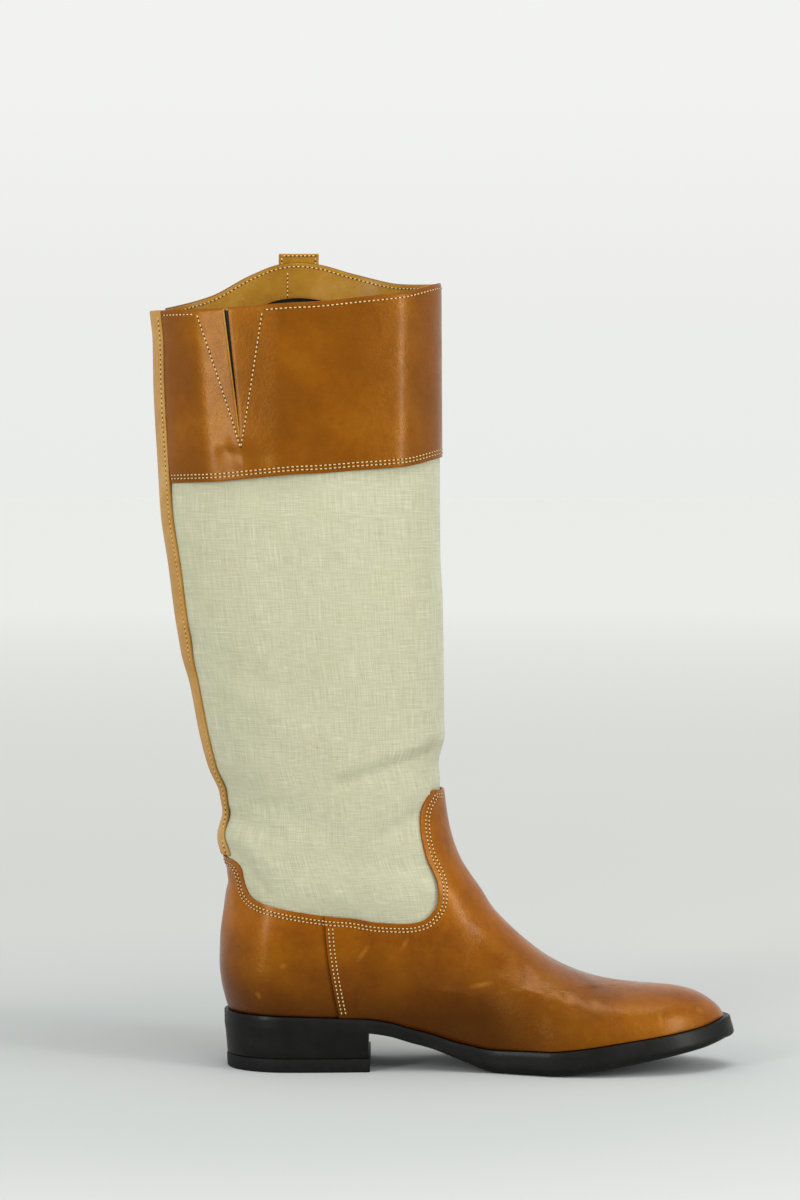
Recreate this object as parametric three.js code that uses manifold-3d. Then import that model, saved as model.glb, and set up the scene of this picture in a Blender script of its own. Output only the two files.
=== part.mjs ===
// A tall leather riding boot, left foot, with a linen shaft.
// Millimetres, +Z up, +X to the toe, -Y the inner (medial) side.
// The origin is the centre of the heel's flat, on the floor.
import * as THREE from "three";
import Module from "manifold-3d";
import { mergeVertices } from "three/addons/utils/BufferGeometryUtils.js";

const wasm = await Module();
wasm.setup();

// Driving sizes of the last
const lastLength = 271.7; // heel back to toe tip, along the line where the upper meets the sole
const ballWidth = 91; // widest part of the foot
const heelWidth = 60; // heel seat
const seatHeight = 31.1; // top of the sole at the heel
const toeSpring = 17; // underside of the toe tip above the floor
const toeSwing = 5; // toe tip to the inner side of the heel's axis
const throatHeight = 151; // top of the vamp at the shin
const legFront = 119.5; // shin line ahead of the heel back
const calfReach = 37.4; // calf behind the heel back
const ankleHeight = 112;
const ankleWidth = 69;
const legWidth = 87; // shaft under the collar
const bootHeight = 425.4; // collar at the shin

// Driving sizes of the bottom
const waistThickness = 7.2;
const ballThickness = 13;
const heelLedge = 2; // sole standing out past the upper
const sideLedge = 2.6;
const toeLedge = 3.4;
const toeFlare = 2.2; // lower edge of the sole past its upper edge, at the toe
const treadBevel = 4.2; // rounded lower edge of the forefoot
const heelEdgeBevel = 0.8;
const heelLength = 79; // back of the heel to its breast
const heelTaper = 2.2;
const liftThickness = 7.5;
const liftStep = 0.6;
const insoleThickness = 3;
const insoleInset = 3.6;

// Driving sizes of the upper
const footWall = 1.5;
const shaftWall = 1.5;
const clearance = 0.3; // between curved pieces
const cuffGap = 0.5; // cuff off the linen
const seatGap = 0.45; // trimmed edge of the upper above the sole
const lap = 8; // linen tucked under the foot leather
const tuckSink = 0.7; // tucked edge pressed in
const tuckShare = 0.08; // share of the shaft's height over which it comes out again
const cuffHeight = 93;
const stayWidth = 34;
const stayProud = 0.6; // back stay past the cuff's face
const stayGap = 0.95; // back stay off the linen, which is wrinkled under it
const tabWidth = 22;
const tabLength = 56;
const tabRise = 5;
const tabThickness = 2.4;
const goreDepth = 74;
const goreTopWidth = 36;
const slitWidth = 2.4;

const mix = (a, b, t) => a + (b - a) * t;
const clamp = (value, low, high) => Math.min(high, Math.max(low, value));
const smooth = (from, to, value) => {
  const t = clamp((value - from) / (to - from), 0, 1);
  return t * t * (3 - 2 * t);
};
const roundEnd = (depth) => {
  const a = clamp(depth, 0, 1);
  return Math.sqrt(a * (2 - a));
};

// A smooth curve through the rows of a table, without overshoot.
function curve(rows, from, to) {
  const last = rows.length - 1;
  const slope = (i) => (rows[i + 1][to] - rows[i][to]) / (rows[i + 1][from] - rows[i][from]);
  const tangent = (i) => {
    if (i === 0) return slope(0);
    if (i === last) return slope(last - 1);
    const before = slope(i - 1);
    const after = slope(i);
    return before * after > 0 ? (2 * before * after) / (before + after) : 0;
  };
  const tangents = rows.map((row, i) => tangent(i));
  return (value) => {
    if (value <= rows[0][from]) return rows[0][to];
    if (value >= rows[last][from]) return rows[last][to];
    let i = 0;
    while (value > rows[i + 1][from]) i += 1;
    const step = rows[i + 1][from] - rows[i][from];
    const t = (value - rows[i][from]) / step;
    const s = 1 - t;
    const ends = s * s * (1 + 2 * t) * rows[i][to] + t * t * (1 + 2 * s) * rows[i + 1][to];
    return ends + step * s * t * (s * tangents[i] - t * tangents[i + 1]);
  };
}

// Sole, from the heel back (0) to the toe tip (1). `heel` and `toe` are the shares of the heel's
// and the toe spring's lift, `full` is the share of the way from waist to ball thickness.
const soleRows = [
  { at: 0, heel: 1, toe: 0, full: 0, bevel: 0 },
  { at: 0.143, heel: 0.958, toe: 0, full: 0, bevel: 0 },
  { at: 0.283, heel: 0.895, toe: 0, full: 0, bevel: 0 },
  { at: 0.327, heel: 0.82, toe: 0, full: 0, bevel: 0.05 },
  { at: 0.368, heel: 0.678, toe: 0, full: 0.03, bevel: 0.1 },
  { at: 0.412, heel: 0.535, toe: 0, full: 0.06, bevel: 0.18 },
  { at: 0.452, heel: 0.36, toe: 0, full: 0.18, bevel: 0.35 },
  { at: 0.491, heel: 0.184, toe: 0, full: 0.5, bevel: 0.6 },
  { at: 0.518, heel: 0.06, toe: 0, full: 0.76, bevel: 0.85 },
  { at: 0.544, heel: 0, toe: 0, full: 0.91, bevel: 1 },
  { at: 0.64, heel: 0, toe: 0, full: 1, bevel: 1 },
  { at: 0.68, heel: 0, toe: 0.045, full: 1.02, bevel: 1 },
  { at: 0.75, heel: 0, toe: 0.2, full: 1, bevel: 1 },
  { at: 0.81, heel: 0, toe: 0.36, full: 0.9, bevel: 0.95 },
  { at: 0.865, heel: 0, toe: 0.52, full: 0.78, bevel: 0.85 },
  { at: 0.915, heel: 0, toe: 0.67, full: 0.68, bevel: 0.75 },
  { at: 0.955, heel: 0, toe: 0.8, full: 0.63, bevel: 0.65 },
  { at: 1, heel: 0, toe: 1, full: 0.64, bevel: 0.6 },
];
const heelLift = curve(soleRows, "at", "heel");
const toeLift = curve(soleRows, "at", "toe");
const soleFull = curve(soleRows, "at", "full");
const soleBevel = curve(soleRows, "at", "bevel");
const soleBottom = (x) => {
  const at = x / lastLength;
  return (seatHeight - waistThickness) * heelLift(at) + toeSpring * toeLift(at);
};
const soleTop = (x) =>
  soleBottom(x) + mix(waistThickness, ballThickness, soleFull(x / lastLength));
const toeHeight = soleTop(lastLength);

// Back line: `up` from the heel seat to the collar, `out` the share of the calf's reach.
const backRows = [
  { up: 0, out: -0.043 },
  { up: 0.018, out: 0.011 },
  { up: 0.041, out: 0.064 },
  { up: 0.065, out: 0.086 },
  { up: 0.102, out: 0.075 },
  { up: 0.142, out: 0.021 },
  { up: 0.179, out: -0.021 },
  { up: 0.213, out: 0.037 },
  { up: 0.236, out: 0.07 },
  { up: 0.272, out: 0.005 },
  { up: 0.299, out: 0.043 },
  { up: 0.334, out: 0.195 },
  { up: 0.378, out: 0.32 },
  { up: 0.452, out: 0.473 },
  { up: 0.492, out: 0.596 },
  { up: 0.542, out: 0.684 },
  { up: 0.612, out: 0.778 },
  { up: 0.684, out: 0.888 },
  { up: 0.742, out: 0.925 },
  { up: 0.867, out: 0.992 },
  { up: 0.919, out: 1 },
  { up: 0.962, out: 1.043 },
];
const backOut = curve(backRows, "up", "out");
const backAt = (z) => -calfReach * backOut((z - seatHeight) / (bootHeight - seatHeight));

// Front line of the foot: `up` from the toe's feather to the throat, `along` from shin to toe tip.
const vampRows = [
  { up: 0, along: 1 },
  { up: 0.033, along: 0.984 },
  { up: 0.069, along: 0.951 },
  { up: 0.104, along: 0.902 },
  { up: 0.128, along: 0.828 },
  { up: 0.138, along: 0.729 },
  { up: 0.147, along: 0.631 },
  { up: 0.165, along: 0.54 },
  { up: 0.201, along: 0.45 },
  { up: 0.247, along: 0.376 },
  { up: 0.313, along: 0.302 },
  { up: 0.385, along: 0.236 },
  { up: 0.471, along: 0.17 },
  { up: 0.554, along: 0.128 },
  { up: 0.622, along: 0.09 },
  { up: 0.689, along: 0.058 },
  { up: 0.775, along: 0.032 },
  { up: 0.857, along: 0.016 },
  { up: 0.929, along: 0.007 },
];
// Front line of the shaft: `up` from the throat to the collar, `out` the share of the shin line.
const shinRows = [
  { up: 0, out: 1 },
  { up: 0.051, out: 0.985 },
  { up: 0.093, out: 1.005 },
  { up: 0.168, out: 1.009 },
  { up: 0.38, out: 1.002 },
  { up: 0.463, out: 0.992 },
  { up: 0.657, out: 0.989 },
  { up: 1, out: 0.985 },
];
const frontRows = [
  ...vampRows.map(({ up, along }) => ({
    z: mix(toeHeight, throatHeight, up),
    x: mix(legFront, lastLength, along),
  })),
  ...shinRows.map(({ up, out }) => ({
    z: mix(throatHeight, bootHeight, up),
    x: legFront * out,
  })),
];
const frontAt = curve(frontRows, "z", "x");

// Height of the vamp's ridge above a place along the foot.
function ridgeAt(x) {
  let low = toeHeight;
  let high = throatHeight;
  for (let i = 0; i < 40; i += 1) {
    const middle = (low + high) / 2;
    if (frontAt(middle) > x) low = middle;
    else high = middle;
  }
  return (low + high) / 2;
}

// Half widths by place along the foot, as shares of the local half width: `low` where the upper
// meets the sole, `body` at the fullest part of the side, for the inner and the outer side.
const planRows = [
  { at: 0, lowIn: 1, lowOut: 1, bodyIn: 1.07, bodyOut: 1.07 },
  { at: 0.13, lowIn: 1, lowOut: 1, bodyIn: 1.08, bodyOut: 1.08 },
  { at: 0.27, lowIn: 0.95, lowOut: 1, bodyIn: 1.03, bodyOut: 1.08 },
  { at: 0.36, lowIn: 0.82, lowOut: 0.98, bodyIn: 0.98, bodyOut: 1.08 },
  { at: 0.44, lowIn: 0.69, lowOut: 0.9, bodyIn: 0.88, bodyOut: 1 },
  { at: 0.52, lowIn: 0.69, lowOut: 0.89, bodyIn: 0.85, bodyOut: 0.96 },
  { at: 0.6, lowIn: 0.81, lowOut: 0.955, bodyIn: 0.91, bodyOut: 1 },
  { at: 0.67, lowIn: 0.935, lowOut: 0.98, bodyIn: 0.98, bodyOut: 1.02 },
  { at: 0.73, lowIn: 0.945, lowOut: 0.935, bodyIn: 0.99, bodyOut: 0.97 },
  { at: 0.8, lowIn: 0.86, lowOut: 0.84, bodyIn: 0.89, bodyOut: 0.86 },
  { at: 0.87, lowIn: 0.75, lowOut: 0.735, bodyIn: 0.76, bodyOut: 0.745 },
  { at: 0.93, lowIn: 0.68, lowOut: 0.67, bodyIn: 0.69, bodyOut: 0.68 },
  { at: 1, lowIn: 0.64, lowOut: 0.63, bodyIn: 0.64, bodyOut: 0.63 },
];
const planCurves = {
  lowIn: curve(planRows, "at", "lowIn"),
  lowOut: curve(planRows, "at", "lowOut"),
  bodyIn: curve(planRows, "at", "bodyIn"),
  bodyOut: curve(planRows, "at", "bodyOut"),
};
// Shaft: `up` from ankle to collar, `full` from ankle width to leg width.
const legRows = [
  { up: 0, full: 0 },
  { up: 0.12, full: 0.14 },
  { up: 0.28, full: 0.5 },
  { up: 0.44, full: 0.78 },
  { up: 0.665, full: 0.94 },
  { up: 1, full: 1 },
];
const legFull = curve(legRows, "up", "full");
const legHalf = (z) =>
  mix(ankleWidth, legWidth, legFull((z - ankleHeight) / (bootHeight - ankleHeight))) / 2;

const toeRound = 0.155; // share of the length over which the toe's outline closes
const sideHeight = 17; // fullest part of the side above the heel seat
const medial = -1;
const lateral = 1;

function footHalf(x, level, side) {
  const at = x / lastLength;
  const local = mix(heelWidth, ballWidth, smooth(0.3, 0.6, at)) / 2;
  const share = planCurves[level + (side === medial ? "In" : "Out")](at);
  return local * share * roundEnd((1 - at) / toeRound);
}

function fullHalf(x, z, side) {
  const bodyHeight = seatHeight + sideHeight;
  const body = footHalf(x, "body", side);
  if (z >= bodyHeight) return mix(body, legHalf(z), smooth(bodyHeight, ankleHeight, z));
  const rise = clamp((z - soleTop(x)) / (bodyHeight - soleTop(x)), 0, 1);
  return mix(footHalf(x, "low", side), body, Math.sin((rise * Math.PI) / 2));
}

// Length over which the back of a level rounds off: a round heel, and half the depth of the leg.
const backRounding = (z) => {
  const leg = (frontAt(z) - backAt(z)) / 2;
  return mix(heelWidth * 0.55, leg, smooth(seatHeight + sideHeight, throatHeight, z));
};

// How far the front and top of the boot have closed in on a place in the side view.
const instepBlend = 30;
const domeShare = 0.95;
function frontClosing(x, z) {
  const ahead = frontAt(z) - x;
  const leg = (frontAt(z) - backAt(z)) / 2;
  const footShare = smooth(legFront, legFront + instepBlend, x);
  if (z >= throatHeight || footShare === 0) return roundEnd(ahead / leg);
  const ridge = ridgeAt(x);
  const above = Math.max(0, ridge - z) / footShare;
  const dome = (domeShare * Math.max(0.01, ridge - soleTop(x))) / footShare;
  const depth = (ahead * above) / Math.max(1e-6, Math.hypot(ahead, above));
  return roundEnd(depth / Math.pow(Math.pow(leg, -4) + Math.pow(dome, -4), -0.25));
}

const axisAt = (x) => -toeSwing * smooth(0.4 * lastLength, lastLength * 1.05, x);

// The outer surface of the boot: a place in the side view gives the place across.
function across(x, z, side) {
  const backClosing = roundEnd((x - backAt(z)) / backRounding(z));
  return axisAt(x) + side * fullHalf(x, z, side) * backClosing * frontClosing(x, z);
}

// Share of a level's depth at a place of the side view: 0 on the back line, 1 on the front line.
const depthShare = ([x, z]) => (x - backAt(z)) / (frontAt(z) - backAt(z));
const evenShare = (c) => (1 - Math.cos(Math.PI * c)) / 2;

// A surface is a function of turn (0 at the back, half a turn at the front, the inner side first)
// and rise (0 on its low line, 1 on its high line). Between the two lines it runs straight in
// depth share and height, so it never leaves the boot's outline. `pacing` spaces the rises.
function ruledSurface({ low, high, pacing }) {
  return (turn, rise) => {
    const side = Math.sin(turn) >= 0 ? medial : lateral;
    const c = Math.acos(clamp(Math.cos(turn), -1, 1)) / Math.PI;
    const start = low(c, side);
    const end = high(c, side);
    const step = mix(rise, pacing(rise), smooth(0.4, 1, c));
    const z = mix(start[1], end[1], step);
    const share = clamp(mix(depthShare(start), depthShare(end), step), 0, 1);
    const x = mix(backAt(z), frontAt(z), share);
    const onAxis = c < 1e-9 || c > 1 - 1e-9;
    return new THREE.Vector3(x, onAxis ? axisAt(x) : across(x, z, side), z);
  };
}

// A surface moved out (or in) along its own normal.
const nudge = 1e-3;
function offsetPoint(surface, u, v, distance) {
  const centre = surface(u, v);
  const height = centre.z;
  const alongU = surface(u + nudge, v).sub(surface(u - nudge, v));
  const alongV = surface(u, Math.min(1, v + nudge)).sub(surface(u, Math.max(0, v - nudge)));
  const normal = alongU.cross(alongV).normalize();
  centre.addScaledVector(normal, distance);
  if (v === 0) centre.z = height; // the lower edge is trimmed level
  return centre;
}

function solidGeometry(points, faces) {
  const geometry = new THREE.BufferGeometry();
  const volume = faces.reduce((sum, [a, b, c]) => {
    const cross = new THREE.Vector3().crossVectors(points[b], points[c]);
    return sum + points[a].dot(cross);
  }, 0);
  const order = volume < 0 ? faces.map(([a, b, c]) => [a, c, b]) : faces;
  geometry.setAttribute(
    "position",
    new THREE.Float32BufferAttribute(points.flatMap((point) => point.toArray()), 3),
  );
  geometry.setIndex(order.flat());
  geometry.computeVertexNormals();
  return geometry;
}

// A wall of real thickness over a surface: a ring that closes on itself, or a panel with edges.
// `sink` presses it in along its rise.
function wall({ surface, turns, rises, outer, inner, ring, sink }) {
  const columns = turns.length;
  const rows = rises.length;
  const sunk = sink ?? (() => 0);
  const points = [outer, inner].flatMap((distance) =>
    rises.flatMap((rise) =>
      turns.map((turn) => offsetPoint(surface, turn, rise, distance - sunk(rise))),
    ),
  );
  const at = (layer, row, column) => (layer * rows + row) * columns + (column % columns);
  const faces = [];
  const quad = (a, b, c, d) => faces.push([a, b, c], [a, c, d]);
  const spans = ring ? columns : columns - 1;
  for (let j = 0; j < spans; j += 1) {
    for (let i = 0; i < rows - 1; i += 1) {
      quad(at(0, i, j), at(0, i + 1, j), at(0, i + 1, j + 1), at(0, i, j + 1));
      quad(at(1, i, j), at(1, i, j + 1), at(1, i + 1, j + 1), at(1, i + 1, j));
    }
    quad(at(0, 0, j), at(0, 0, j + 1), at(1, 0, j + 1), at(1, 0, j));
    quad(at(0, rows - 1, j), at(1, rows - 1, j), at(1, rows - 1, j + 1), at(0, rows - 1, j + 1));
  }
  if (!ring) {
    for (let i = 0; i < rows - 1; i += 1) {
      quad(at(0, i, 0), at(1, i, 0), at(1, i + 1, 0), at(0, i + 1, 0));
      const end = columns - 1;
      quad(at(0, i, end), at(0, i + 1, end), at(1, i + 1, end), at(1, i, end));
    }
  }
  return solidGeometry(points, faces);
}

// A solid through loops of points. Point i of a loop faces point n - 1 - i across the piece.
function loft(loops) {
  const count = loops[0].length;
  const points = loops.flat();
  const faces = [];
  for (let level = 0; level < loops.length - 1; level += 1) {
    for (let i = 0; i < count; i += 1) {
      const a = level * count + i;
      const b = level * count + ((i + 1) % count);
      faces.push([a, b, b + count], [a, b + count, a + count]);
    }
  }
  const top = (loops.length - 1) * count;
  for (let i = 0; i < count / 2 - 1; i += 1) {
    const [a, b, c, d] = [i, i + 1, count - 2 - i, count - 1 - i];
    faces.push([a, c, b], [a, d, c], [top + a, top + b, top + c], [top + a, top + c, top + d]);
  }
  return solidGeometry(points, faces);
}

const spread = (count, from, to) =>
  Array.from({ length: count }, (unused, i) => mix(from, to, i / (count - 1)));
const around = (count) => Array.from({ length: count }, (unused, i) => (2 * Math.PI * i) / count);

// A line of the side view through chosen places, walked at an even pace over the boot's surface,
// where a step up counts for less than a step along.
const climbWeight = 0.4;
const stepsPerSpan = 8;
function pacedLine(places) {
  const rows = places.map(([x, z], i) => ({ i, x, z }));
  const xAt = curve(rows, "i", "x");
  const zAt = curve(rows, "i", "z");
  const count = (places.length - 1) * stepsPerSpan + 1;
  const dense = spread(count, 0, places.length - 1).map((i) => {
    const x = xAt(i);
    const z = zAt(i);
    return { pace: 0, x, y: across(x, z, medial), z };
  });
  for (let i = 1; i < count; i += 1) {
    const [from, to] = [dense[i - 1], dense[i]];
    to.pace = from.pace + Math.hypot(to.x - from.x, to.y - from.y, climbWeight * (to.z - from.z));
  }
  const total = dense[count - 1].pace;
  dense.forEach((row) => {
    row.pace /= total;
  });
  const x = curve(dense, "pace", "x");
  const z = curve(dense, "pace", "z");
  return (share) => [x(share), z(share)];
}

// Topline of the foot leather: `along` is a share of the shin line, `up` of the throat's height.
const toplineRows = [
  { along: 0.05, up: 0.744 },
  { along: 0.08, up: 0.715 },
  { along: 0.092, up: 0.665 },
  { along: 0.114, up: 0.63 },
  { along: 0.17, up: 0.606 },
  { along: 0.282, up: 0.585 },
  { along: 0.46, up: 0.563 },
  { along: 0.575, up: 0.555 },
  { along: 0.706, up: 0.538 },
  { along: 0.82, up: 0.534 },
  { along: 0.9, up: 0.543 },
  { along: 0.944, up: 0.57 },
  { along: 0.969, up: 0.603 },
  { along: 0.973, up: 0.64 },
  { along: 0.968, up: 0.675 },
  { along: 0.949, up: 0.715 },
  { along: 0.925, up: 0.755 },
  { along: 0.905, up: 0.811 },
  { along: 0.894, up: 0.865 },
  { along: 0.893, up: 0.9 },
  { along: 0.905, up: 0.946 },
  { along: 0.929, up: 0.98 },
  { along: 0.958, up: 1.003 },
];
const stayFoot = 0.762 * throatHeight; // top of the counter at the back
const toplinePlaces = [
  [backAt(stayFoot), stayFoot],
  ...toplineRows.map(({ along, up }) => [legFront * along, throatHeight * up]),
  [frontAt(throatHeight), throatHeight],
];

// Where a line of the side view meets the trimmed lower edge.
function meetFeather(lineAt, start) {
  let x = start;
  for (let i = 0; i < 30; i += 1) x = lineAt(soleTop(clamp(x, 0, lastLength)) + seatGap);
  return x;
}
const seatX = meetFeather(backAt, 0);
const toeX = meetFeather(frontAt, lastLength);
const featherLine = (c) => {
  const x = mix(seatX, toeX, evenShare(c));
  return [x, soleTop(x) + seatGap];
};
// Rises over the vamp follow its long shallow ridge instead of its height.
const ridgeRows = vampRows.map(({ up, along }) => ({ up, along, walked: 0 }));
for (let i = 1; i < ridgeRows.length; i += 1) {
  const up = (ridgeRows[i].up - ridgeRows[i - 1].up) * (throatHeight - toeHeight);
  const along = (ridgeRows[i].along - ridgeRows[i - 1].along) * (lastLength - legFront);
  ridgeRows[i].walked = ridgeRows[i - 1].walked + Math.hypot(up, along);
}
ridgeRows.push({
  up: 1,
  along: 0,
  walked: ridgeRows.at(-1).walked + (1 - ridgeRows.at(-1).up) * (throatHeight - toeHeight),
});
const ridgeLength = ridgeRows.at(-1).walked;
const ridgeUp = curve(ridgeRows, "walked", "up");

const footSurface = ruledSurface({
  low: featherLine,
  high: pacedLine(toplinePlaces),
  pacing: (rise) => ridgeUp(rise * ridgeLength),
});

function makeUpper() {
  const rises = spread(16, 0, 1).map((share) => Math.pow(share, 1.4));
  return wall({
    surface: footSurface,
    turns: around(62),
    rises,
    outer: 0,
    inner: -footWall,
    ring: true,
  });
}

// Lower edge of the linen: the topline moved down under the leather by the lap.
const tuckPlaces = toplinePlaces.map(([x, z], i) => {
  const [beforeX, beforeZ] = toplinePlaces[Math.max(0, i - 1)];
  const [afterX, afterZ] = toplinePlaces[Math.min(toplinePlaces.length - 1, i + 1)];
  const length = Math.hypot(afterX - beforeX, afterZ - beforeZ);
  return [x + (lap * (afterZ - beforeZ)) / length, z - (lap * (afterX - beforeX)) / length];
});
const shaftFoot = stayFoot - lap;
const shaftThroat = throatHeight - lap;
tuckPlaces[0] = [backAt(shaftFoot), shaftFoot];
tuckPlaces[tuckPlaces.length - 1] = [frontAt(shaftThroat), shaftThroat];

// Rim of the collar by share of the leg's depth, as shares of the boot's height: the outer side
// rises to a peak.
const rimRows = [
  { at: 0, inner: 0.964, outer: 0.966 },
  { at: 0.19, inner: 0.964, outer: 0.987 },
  { at: 0.33, inner: 0.967, outer: 1.015 },
  { at: 0.44, inner: 0.97, outer: 1.03 },
  { at: 0.5, inner: 0.9715, outer: 1.032 },
  { at: 0.56, inner: 0.9725, outer: 1.03 },
  { at: 0.7, inner: 0.978, outer: 1.016 },
  { at: 0.87, inner: 0.986, outer: 1.002 },
  { at: 1, inner: 1, outer: 1 },
];
const rimInner = curve(rimRows, "at", "inner");
const rimOuter = curve(rimRows, "at", "outer");
const rimHeight = (at, side) => bootHeight * (side === medial ? rimInner(at) : rimOuter(at));
const rimLine = (drop) => (c, side) => {
  const at = evenShare(c);
  const z = rimHeight(at, side) - drop;
  return [mix(backAt(z), frontAt(z), at), z];
};

const rimSetback = 1.2; // lining edge below the cuff's edge
const linenFace = -footWall - clearance;
const shaftSurface = ruledSurface({
  low: pacedLine(tuckPlaces),
  high: rimLine(rimSetback),
  pacing: (rise) => rise,
});

// Booleans between closed meshes.
function toSolid(geometry) {
  const bare = geometry.clone();
  bare.deleteAttribute("normal");
  if (bare.getAttribute("uv")) bare.deleteAttribute("uv");
  const merged = mergeVertices(bare, 1e-4);
  return new wasm.Manifold(
    new wasm.Mesh({
      numProp: 3,
      vertProperties: new Float32Array(merged.getAttribute("position").array),
      triVerts: new Uint32Array(merged.getIndex().array),
    }),
  );
}
function fromSolid(solid) {
  const mesh = solid.getMesh();
  const result = new THREE.BufferGeometry();
  result.setAttribute("position", new THREE.BufferAttribute(mesh.vertProperties, 3));
  result.setIndex(new THREE.BufferAttribute(mesh.triVerts, 1));
  result.computeVertexNormals();
  return result;
}

// A wedge through the inner side only, from its point up past the rim.
function wedge(pointX, pointZ, topLeft, topRight, topZ) {
  const shape = new THREE.Shape([
    new THREE.Vector2(pointX, pointZ),
    new THREE.Vector2(topRight, topZ),
    new THREE.Vector2(topLeft, topZ),
  ]);
  const geometry = new THREE.ExtrudeGeometry(shape, { depth: legWidth, bevelEnabled: false });
  geometry.rotateX(Math.PI / 2);
  return geometry;
}

// The elastic gore: a long V with its point down, on the inner side near the back.
const goreX = legFront * 0.092;
const goreTop = bootHeight * 0.964;
const gorePoint = goreTop - goreDepth;
const goreBack = 0.677; // share of the gore's width behind its point
const goreEdge = (z, share) =>
  goreX + ((z - gorePoint) / goreDepth) * goreTopWidth * (share - goreBack);

function goreWedge(grow, point) {
  const above = goreTop + 20;
  return wedge(goreX, point, goreEdge(above, 0) - grow, goreEdge(above, 1) + grow, above);
}

function makeTube() {
  return wall({
    surface: shaftSurface,
    turns: around(44),
    rises: spread(26, 0, 1).map((share) => Math.pow(share, 1.6)),
    outer: linenFace,
    inner: linenFace - shaftWall,
    ring: true,
    sink: (rise) => tuckSink * (1 - smooth(0, tuckShare, rise)),
  });
}
const tube = toSolid(makeTube());
const makeShaft = () => fromSolid(tube.subtract(toSolid(goreWedge(clearance, gorePoint))));
const goreNeck = 3; // the gore's point is rounded off in its seam
const makeGore = () => fromSolid(tube.intersect(toSolid(goreWedge(-clearance, gorePoint + goreNeck))));

// The leg by turn and height, for the pieces laid round it.
function legPoint(turn, z) {
  const half = (frontAt(z) - backAt(z)) / 2;
  const x = backAt(z) + half * (1 - Math.cos(turn));
  return new THREE.Vector3(x, -legHalf(z) * Math.sin(turn), z);
}

// Back stay: `up` from the counter to the rim, `wide` the share of its full width.
const stayRows = [
  { up: 0, wide: 0.8 },
  { up: 0.075, wide: 0.58 },
  { up: 0.13, wide: 0.66 },
  { up: 0.22, wide: 0.77 },
  { up: 0.3, wide: 0.8 },
  { up: 0.41, wide: 0.98 },
  { up: 0.52, wide: 1 },
  { up: 0.7, wide: 0.98 },
  { up: 1, wide: 0.96 },
];
const stayWide = curve(stayRows, "up", "wide");
const stayTop = rimHeight(0, medial);
const stayHalf = (z) => (stayWidth / 2) * stayWide((z - stayFoot) / (stayTop - stayFoot));
const stayTurn = (z, grow) => Math.asin((stayHalf(z) + grow) / legHalf(z));

function makeBackStay() {
  return wall({
    surface: (u, v) => {
      const z = mix(stayFoot + clearance * 2, stayTop, v);
      const y = -stayHalf(z) * u;
      const x = backAt(z) + backRounding(z) * (1 - Math.sqrt(1 - (y / legHalf(z)) ** 2));
      return new THREE.Vector3(x, y, z);
    },
    turns: spread(7, -1, 1),
    rises: spread(30, 0, 1).map((share) => Math.pow(share, 1.35)),
    outer: stayProud,
    inner: linenFace + stayGap,
    ring: false,
  });
}

// Cuff: its lower edge rises to the front.
const cuffRows = [
  { at: 0, drop: 1 },
  { at: 0.5, drop: 0.98 },
  { at: 1, drop: 1.012 },
];
const cuffDrop = curve(cuffRows, "at", "drop");
const cuffFoot = (at) => rimHeight(at, medial) - cuffHeight * cuffDrop(at);

function makeCuff() {
  const surface = (u, v) => {
    const stayAt = mix(cuffFoot(0), stayTop, clamp(v, 0, 1));
    const start = stayTurn(stayAt, clearance);
    const turn = mix(start, 2 * Math.PI - start, u);
    const at = (1 - Math.cos(turn)) / 2;
    const side = Math.sin(turn) >= 0 ? medial : lateral;
    return legPoint(turn, mix(cuffFoot(at), rimHeight(at, side), v));
  };
  const band = wall({
    surface,
    turns: spread(46, 0, 1),
    rises: spread(6, 0, 1),
    outer: 0,
    inner: linenFace + cuffGap,
    ring: false,
  });
  const slitTop = goreTop + 10;
  const slitX = goreEdge(slitTop, 0.45);
  const slit = wedge(
    goreX,
    gorePoint + 5,
    slitX - slitWidth / 2,
    slitX + slitWidth / 2,
    slitTop,
  );
  return fromSolid(toSolid(band).subtract(toSolid(slit)));
}

// Pull tab: a folded strap on the outer side's peak.
function makePullTab() {
  const middle = mix(backAt(bootHeight), frontAt(bootHeight), 0.5);
  const top = rimHeight(0.5, lateral) + tabRise;
  return wall({
    surface: (u, v) => {
      const x = middle - (tabWidth / 2) * u;
      const z = mix(top - tabLength, top, v);
      return new THREE.Vector3(x, across(x, z, lateral), z);
    },
    turns: spread(6, -1, 1),
    rises: spread(7, 0, 1),
    outer: clearance + tabThickness,
    inner: clearance,
    ring: false,
  });
}

// Outline of the bottom in plan: the line where the upper meets the sole, grown outwards.
function featherPoint(turn) {
  const side = Math.sin(turn) >= 0 ? medial : lateral;
  const x = mix(backAt(seatHeight), lastLength, (1 - Math.cos(turn)) / 2);
  return new THREE.Vector2(x, across(x, soleTop(x), side));
}
function outline(turn, grow) {
  const direction = featherPoint(turn + nudge).sub(featherPoint(turn - nudge)).normalize();
  const point = featherPoint(turn);
  return new THREE.Vector2(point.x + direction.y * grow, point.y - direction.x * grow);
}
const shareAt = (turn) => (1 - Math.cos(turn)) / 2;
const ledgeAt = (turn) => {
  const at = shareAt(turn);
  const back = mix(heelLedge, sideLedge, smooth(0.1, 0.5, at));
  return mix(back, toeLedge, smooth(0.8, 1, at));
};
const flareAt = (turn) => toeFlare * smooth(0.6, 1, shareAt(turn));
const outlineTurns = Array.from({ length: 64 }, (unused, i) => ((i + 0.5) * 2 * Math.PI) / 64);

// Outward is away from the middle of the piece whichever way the outline runs.
const growSign = Math.sign(outline(Math.PI, 1).x - featherPoint(Math.PI).x);

function soleLoop(turns, growOf, heightOf) {
  return turns.map((turn) => {
    const { x, y } = outline(turn, growSign * growOf(turn));
    return new THREE.Vector3(x, y, heightOf(clamp(x, 0, lastLength)));
  });
}

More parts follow.
